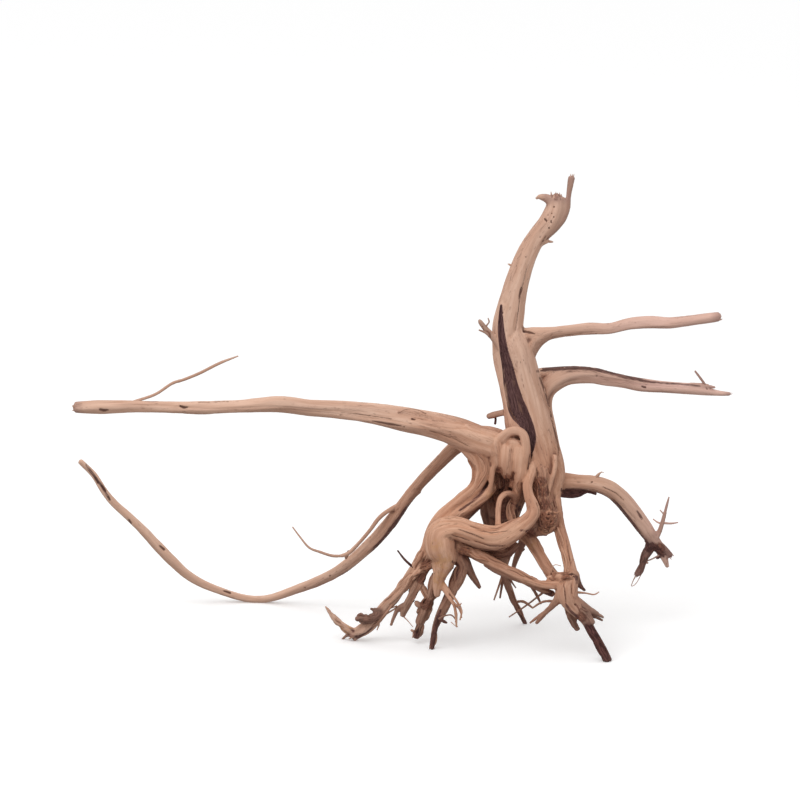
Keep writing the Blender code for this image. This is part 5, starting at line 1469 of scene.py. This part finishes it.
class WashedWood(Recipe):
    """The washed wood's nodes, with its grain patterns and masks."""

    def __init__(self, material, colours):
        super().__init__(material, "Principled BSDF")
        self.colours = colours
        self.grains = [self.vector(f"grain_{layer}") for layer in range(LAYERS)]
        self.shares = self.parts("share")
        self.hollow, self.cuts, self.dark = self.parts("fields")
        self.cavity, self.stain, self.end = self.parts("tones")
        self.rough, self.ochre, self.girth = self.parts("spots")
        self.closed, self.upwards, self.brown = self.parts("setting")
        patterns = [self.along_grain(*pattern) for pattern in FINISH_GRAIN]
        self.fibres, self.bands, self.patches, self.lines, self.dashes, self.shreds = patterns
        place = self.signal("ShaderNodeTexCoord", "Object")
        self.mottle = self.noise(place, (MOTTLE,) * 3, 3.0, 0.6)
        self.crumbs = self.noise(place, (CRUMBS,) * 3, 2.0, 0.6)
        self.fray = (self.fibres - 0.5) * 1.6
        self.line_mask = self.drying_lines()
        self.pit_mask = self.dashes.step(0.74, 0.79)
        self.cut_mask = 1 - (self.cuts + self.fray * 0.9).step(-0.45, 0.45)
        self.dirt = self.painted_shut_in_shade()
        self.rough_mask = self.ragged_bark()

    def along_grain(self, across, along, detail, roughness):
        """A grain pattern: each layer's noise times its share, summed."""
        fineness = (across, across, along)
        layers = [self.noise(grain, fineness, detail, roughness) for grain in self.grains]
        return self.shares[0] * layers[0] + self.shares[1] * layers[1] + self.shares[2] * layers[2]

    def drying_lines(self):
        """1 where the lines' noise crosses its middle, in some patches only."""
        return (1 - (self.lines - 0.5).absolute().step(0.0, 0.012)) * self.patches.step(0.48, 0.62)

    def painted_shut_in_shade(self):
        """Painted shade: 1 where other wood shuts the place in, with an uneven edge."""
        return (self.closed + (self.mottle - 0.5) * 0.35 + (self.fibres - 0.5) * 0.25).step(0.28, 0.85)

    def ragged_bark(self):
        """1 in rough spots, with an edge that bands, shreds and mottle fray."""
        frayed = self.rough + (self.bands - 0.5) * 1.6 + (self.shreds - 0.5) * 1.4
        return (frayed + (self.mottle - 0.5) * 0.8).step(0.25, 0.8)

    def clean(self):
        """Clean wood: pale, rosy or brown in bands, with warm patches, light ridges and painted shade on
        undersides.
        """
        colours = self.colours
        brown_mask = (self.brown + (self.patches - 0.5) * 0.5).clamped()
        ridge = 1 - self.cavity.step(-1.0, 0.1)
        # Painted shade: 1 on wood that faces down.
        under = 1 - (self.upwards + (self.bands - 0.5) * 0.5).step(-0.75, 0.05)
        between = 1 - self.fibres.step(0.30, 0.50)
        banded = self.bands.step(0.36, 0.62)
        pale = self.mix(banded, colours.mid, colours.light)
        pale = self.mix((self.brown * -0.9).clamped(), pale, colours.rosy)
        deep = self.mix(banded, colours.brown_mid, colours.brown_light)
        colour = self.mix(brown_mask, pale, deep)
        colour = self.mix(self.patches.step(0.42, 0.68) * 0.4, colour, colours.warm)
        colour = self.mix(between * (0.35 + 0.3 * brown_mask), colour, colours.warm)
        colour = self.mix(ridge * 0.3 * (1 - brown_mask * 0.5), colour, colours.light)
        # Painted shade on the wood that faces down.
        colour = self.mix(under * (0.22 + 0.25 * brown_mask), colour, colours.under)
        return self.mix(self.ochre * self.mottle.step(0.38, 0.60) * 0.5, colour, colours.ochre)

    def bark(self):
        """Bark: dark between its shreds, with light crumbs."""
        bark = self.mix(self.shreds.step(0.38, 0.60), self.colours.bark_dark, self.colours.bark)
        return self.mix(self.crumbs.step(0.56, 0.70) * 0.6, bark, self.colours.bark_light)

    def marked(self, colour):
        """A colour under bark, stain, greyed ends and painted shade where shut in and in creases, then
        strips, lines and pits.
        """
        colours = self.colours
        bark = self.bark()
        stain_mask = (self.stain * 1.15 + self.fray * 0.35 * self.stain.step(0.0, 0.3)).clamped()
        stain_colour = self.mix(self.shreds.step(0.40, 0.64), colours.stain_dark, colours.stain)
        strip = self.dark + (self.bands - 0.5) * 5.0 + self.fray * 1.8 + (self.shreds - 0.5) * 2.0
        colour = self.mix(self.rough_mask * 0.85, colour, bark)
        colour = self.mix(stain_mask, colour, stain_colour)
        colour = self.mix(self.end * (0.35 + 0.4 * self.mottle), colour, colours.weathered)
        # Painted shade where other wood shuts the place in, in the bark's colours.
        colour = self.mix(self.dirt * 0.72, colour, bark)
        # Painted shade in creases, in the dark bark's colour.
        colour = self.mix(self.cavity.step(0.3, 1.7) * 0.7, colour, colours.bark_dark)
        colour = self.mix((1 - strip.step(-1.1, 0.8)) * 0.9, colour, stain_colour)
        colour = self.mix(self.line_mask * 0.6, colour, colours.stain)
        return self.mix(self.pit_mask * 0.55 * self.girth.step(0.2, 0.5), colour, colours.crack)

    def hollowed(self, colour):
        """A colour under that of the hollow's dark wood, which darkens to its floor with painted shade, and
        under that of the cracks.
        """
        colours = self.colours
        hollow_mask = 1 - (self.hollow + self.fray * 0.4).step(0.25, 0.75)
        # Painted shade, deepest at the hollow's floor.
        floor_shade_mask = 1 - self.hollow.step(-2.6, -0.4)
        inside = self.mix(self.fibres.step(0.38, 0.66), colours.hollow_floor_shade, colours.hollow)
        inside = self.mix(floor_shade_mask * 0.5, inside, colours.hollow_floor_shade)
        colour = self.mix(hollow_mask, colour, inside)
        return self.mix(self.cut_mask * 0.8, colour, colours.crack)

    def bumps(self):
        """Bumps that fibres, bands and shreds raise, most in ragged bark, and lines, pits and cracks sink."""
        ragged = self.rough_mask + self.dirt * 0.6
        height = (
            self.fibres * 0.5
            + self.bands * 0.3
            + self.shreds * (0.15 + ragged * 1.3)
            + ragged * self.crumbs * 0.6
            - self.line_mask * 0.45
            - self.pit_mask * 0.5
            - self.cut_mask * 0.9
        )
        inputs = {"Strength": 1.0, "Distance": BUMP_DEPTH * MM, "Height": height}
        return self.signal("ShaderNodeBump", 0, inputs=inputs)


def wood_finish(colours):
    """The washed wood's material: colour in layers, a roughness that falls in the bands, and bumps."""
    material = bpy.data.materials.new(FINISH)
    wood = WashedWood(material, colours)
    wood.finish({
        "Base Color": wood.hollowed(wood.marked(wood.clean())),
        "Roughness": 0.92 - 0.14 * wood.bands,
        "Normal": wood.bumps(),
        "Specular IOR Level": 0.25,
    })
    return material


def srgb(red, green, blue):
    """A colour picked on a 0 to 255 scale, as the linear numbers that a shader works with."""
    scaled = np.array([red, green, blue]) / 255
    return tuple(np.where(scaled <= 0.04045, scaled / 12.92, ((scaled + 0.055) / 1.055) ** 2.4)) + (1.0,)


def colour_property(name, description, default):
    """A colour in the panel."""
    return FloatVectorProperty(
        name=name, description=description, subtype="COLOR", size=4, min=0.0, max=1.0, default=default
    )


def length_property(name, description, millimetres):
    """A length in the panel, held in metres."""
    return FloatProperty(
        name=name, description=description, default=millimetres * MM, unit="LENGTH", precision=5
    )


def number_property(name, description, default, unit="NONE"):
    """A plain number in the panel, or one with a unit."""
    return FloatProperty(name=name, description=description, default=default, unit=unit)


class DriftwoodSizes(bpy.types.PropertyGroup):
    """How finely the wood is made and how deep its grain runs"""

    cell: length_property("Cell", "Grid on which the limbs are fused", 0.9)
    rounded_off: length_property("Rounded off", "Added to limbs before rounding takes it off", 0.35)
    rounding: number_property("Rounding", "How far crotches are rounded, in square millimetres", 6.5)
    flutes: length_property("Flutes", "Height of the broad flutes", 0.75)
    fibres: length_property("Fibres", "Height of the fibre ridges", 0.32)
    cracks: length_property("Cracks", "Depth of the drying cracks", 0.9)
    knobs: length_property("Knobs", "Height of the rough lumps", 0.6)
    shreds: length_property("Shreds", "Height of the rough wood's fibres", 0.8)
    grooves: length_property("Grooves", "Depth of the seams in ragged wood", 1.3)
    bumps: length_property("Bumps", "Height of the slow bumps", 0.2)
    cuts: length_property("Cuts", "Depth of the dark cracks and pits", 1.0)
    triangles: IntProperty(name="Triangles", description="Most triangles in the wood's skin", default=196000)


class DriftwoodColours(bpy.types.PropertyGroup):
    """The washed wood's colours"""

    light: colour_property("Light wood", "Bleached ridges", srgb(224, 186, 164))
    mid: colour_property("Middle wood", "Most of the limbs", srgb(208, 167, 144))
    rosy: colour_property("Rosy wood", "Bleached wood of the right limbs", srgb(220, 181, 170))
    brown_light: colour_property("Light brown wood", "Ridges round the crown's foot", srgb(217, 168, 139))
    brown_mid: colour_property("Brown wood", "Most of the wood round the crown's foot", srgb(194, 141, 112))
    warm: colour_property("Warm wood", "Reddish lines and patches", srgb(168, 117, 94))
    # Painted shade: the colour that darkens wood which faces down.
    under: colour_property("Undersides", "Wood that faces down", srgb(144, 98, 80))
    bark: colour_property("Bark", "Fibrous bark left in crotches", srgb(150, 96, 72))
    bark_dark: colour_property("Dark bark", "Between the bark's fibres", srgb(86, 48, 38))
    bark_light: colour_property("Light bark", "Crumbs on the bark", srgb(190, 138, 110))
    stain: colour_property("Stain", "Dark strips and dark root ends", srgb(112, 72, 66))
    stain_dark: colour_property("Dark stain", "Between the stain's fibres", srgb(64, 38, 36))
    hollow: colour_property("Hollow", "The hollow's fibres", srgb(126, 92, 88))
    # Painted shade at the floor of the stem's hollow.
    hollow_floor_shade: colour_property("Deep hollow", "The hollow's floor", srgb(70, 44, 46))
    crack: colour_property("Cracks", "Cracks and pits", srgb(80, 46, 38))
    weathered: colour_property("Broken ends", "Greyed, broken ends", srgb(166, 130, 120))
    ochre: colour_property("Ochre", "Yellowish spots on the knee", srgb(200, 148, 96))


class DriftwoodStage(bpy.types.PropertyGroup):
    """The plain studio"""

    floor_colour: colour_property("Floor", "The pale floor", srgb(250, 250, 250))
    floor_glow: number_property("Floor glow", "Keeps the floor white where shade falls", 0.12)
    key_power: number_property("Key light", "Power of the large soft light", 26.0, "POWER")
    sky: number_property("Sky", "Brightness of the white surroundings straight above", 1.0)
    horizon: number_property("Horizon", "Their brightness at the horizon", 0.6)
    below: number_property("Below", "Their brightness as it lights undersides", 0.44)
    view_width: number_property("View", "Width that the camera takes in", 0.8, "LENGTH")


class DRIFTWOOD_OT_wood(bpy.types.Operator):
    """Fuses the limbs, carves the hollows, raises the grain and finishes the wood"""

    bl_idname = "driftwood.wood"
    bl_label = "Limbs and crown"

    def execute(self, context):
        sizes = context.scene.driftwood_sizes
        limbs = surveyed_routes(LIMBS | FILLS, 2.0)
        twigs = [route for route in surveyed_routes(TWIGS, 1.0) if thick_part(route) >= FEWEST_SAMPLES]
        carvings = surveyed_routes(CARVINGS, 1.0)
        wood = fused_wood(sizes, limbs, twigs, carvings)
        routes = limbs + twigs
        layers = layered(routes)
        raise_grain(wood.data, sizes, routes, layers, carvings)
        triangles = sum(len(face.vertices) - 2 for face in wood.data.polygons)
        if triangles > sizes.triangles:
            thinning = wood.modifiers.new("thinning", "DECIMATE")
            thinning.ratio = sizes.triangles / triangles
            apply_modifiers(wood)
        mark_wood(wood.data, routes, layers, carvings)
        wood.name = "driftwood_wood"
        finish_piece(wood, context)
        return {"FINISHED"}


class DRIFTWOOD_OT_rootlets(bpy.types.Operator):
    """Makes the fine rootlets, splinters and twigs that come out of the wood"""

    bl_idname = "driftwood.rootlets"
    bl_label = "Rootlets"

    def execute(self, context):
        drawn = surveyed_routes(TWIGS | HAIRS, 1.2)
        loose = curls_round(BURL, *BURL_CURLS) + curls_round(BURL, *BURL_HAIRS)
        for name, sizes in BROKEN_ENDS.items():
            loose += splinters(Route.surveyed(name, LIMBS[name], 2.0), *sizes)
        grown = LIMBS | TWIGS
        for frayed in (FRAYED, HAIRY):
            for name, sizes in frayed.items():
                loose += strands_on(Route.surveyed(name, grown[name], 2.0), *sizes)
        loose = [route for route in loose if route.points[:, 2].min() > route.radii.max()]
        finish_piece(link("driftwood_rootlets", thin_twigs(drawn + loose)), context)
        return {"FINISHED"}


def finish_piece(piece, context):
    """Smooth shading, the wood's finish, and the words that tie the piece to the solid."""
    piece.data.shade_smooth()
    piece.data.materials.clear()
    material = bpy.data.materials.get(FINISH) or wood_finish(context.scene.driftwood_colours)
    piece.data.materials.append(material)
    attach(piece, BODY)
    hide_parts(NODE)


class DRIFTWOOD_OT_stage(bpy.types.Operator):
    """Sets the pale floor, the soft light and the camera"""

    bl_idname = "driftwood.stage"
    bl_label = "Studio"

    def execute(self, context):
        stage = context.scene.driftwood_stage
        floor = pale_floor(stage)
        soft_light("key", KEY_PLACE, KEY_AIM, KEY_SIZE, stage.key_power)
        context.scene.world = white_world(stage)
        context.scene.view_settings.view_transform = "Standard"
        context.scene.camera = front_camera(stage.view_width)
        return {"FINISHED"}


def pale_floor(stage):
    """A square of matt white paper that glows a little, so that it stays white where shade falls."""
    corners = [(x * FLOOR_HALF, y * FLOOR_HALF, 0) for x, y in ((-1, -1), (1, -1), (1, 1), (-1, 1))]
    mesh = bpy.data.meshes.new("floor")
    mesh.from_pydata(corners, [], [(0, 1, 2, 3)])
    floor = link("floor", mesh)
    paper = bpy.data.materials.new("pale_paper")
    Recipe(paper, "Principled BSDF").finish({
        "Base Color": stage.floor_colour,
        "Roughness": 0.95,
        "Specular IOR Level": 0.0,
        "Emission Color": stage.floor_colour,
        "Emission Strength": stage.floor_glow,
    })
    mesh.materials.append(paper)
    floor.visible_diffuse = False
    return floor


def white_world(stage):
    """White surroundings, whose brightness runs from below to the horizon and on to straight above."""
    world = bpy.data.worlds.new("studio")
    recipe = Recipe(world, "Background")
    levels = ((0.0, stage.below), (HORIZON_FROM, stage.below), (0.5, stage.horizon), (1.0, stage.sky))
    stops = [(position, (level, level, level, 1.0)) for position, level in levels]
    way = recipe.signal("ShaderNodeTexCoord", "Generated")
    height = recipe.signal("ShaderNodeSeparateXYZ", "Z", inputs=[way])
    share = recipe.signal("ShaderNodeMapRange", "Result", inputs={"Value": height, "From Min": -1.0})
    shade = recipe.signal("ShaderNodeValToRGB", "Color", {"stops": stops}, {"Fac": share})
    recipe.finish({"Color": shade})
    return world


def soft_light(name, place, aim, size, power):
    """A square area light at a place, turned to face its aim."""
    data = bpy.data.lights.new(name, "AREA")
    data.size = size
    data.energy = power
    light = link(name, data)
    light.location = place
    way = np.array(aim) - np.array(place)
    tilt = math.acos(-way[2] / np.linalg.norm(way))
    turn = math.atan2(way[1], way[0]) - math.pi / 2
    light.rotation_euler = (tilt, 0.0, turn)


def front_camera(width):
    """A camera without perspective, which looks straight at the leaning front and takes in a width."""
    data = bpy.data.cameras.new("view")
    data.type = "ORTHO"
    data.ortho_scale = width
    data.clip_end = VIEW_DEPTH
    camera = link("view", data)
    middle = frame_position(*np.array(VIEW_MIDDLE))
    forward = np.array([0.0, math.cos(LEAN), -math.sin(LEAN)])
    camera.location = middle - VIEW_DISTANCE * forward
    camera.rotation_euler = (math.pi / 2 - LEAN, 0.0, 0.0)
    return camera


class DRIFTWOOD_PT_panel(bpy.types.Panel):
    """Lists the makers of the pieces, and the sizes and colours that they use"""

    bl_label = "Driftwood root"
    bl_idname = "DRIFTWOOD_PT_panel"
    bl_space_type = "VIEW_3D"
    bl_region_type = "UI"
    bl_category = "Driftwood"

    def draw(self, context):
        for operator in OPERATORS:
            self.layout.operator(operator.bl_idname)
        for name in GROUPS:
            group = getattr(context.scene, name)
            box = self.layout.box()
            for setting in group.__annotations__:
                box.prop(group, setting)


OPERATORS = (DRIFTWOOD_OT_wood, DRIFTWOOD_OT_rootlets, DRIFTWOOD_OT_stage)
GROUPS = {
    "driftwood_sizes": DriftwoodSizes,
    "driftwood_colours": DriftwoodColours,
    "driftwood_stage": DriftwoodStage,
}


def register():
    """Adds the settings to the scene, and the operators and the panel."""
    for name, group in GROUPS.items():
        bpy.utils.register_class(group)
        setattr(bpy.types.Scene, name, PointerProperty(type=group))
    for kind in (*OPERATORS, DRIFTWOOD_PT_panel):
        bpy.utils.register_class(kind)


def unregister():
    """Takes away what register adds."""
    for kind in (DRIFTWOOD_PT_panel, *reversed(OPERATORS)):
        bpy.utils.unregister_class(kind)
    for name, group in reversed(GROUPS.items()):
        delattr(bpy.types.Scene, name)
        bpy.utils.unregister_class(group)


def main():
    """Makes the pieces and the stage."""
    register()
    bpy.ops.driftwood.wood()
    bpy.ops.driftwood.rootlets()
    bpy.ops.driftwood.stage()


if __name__ == "__main__":
    main()
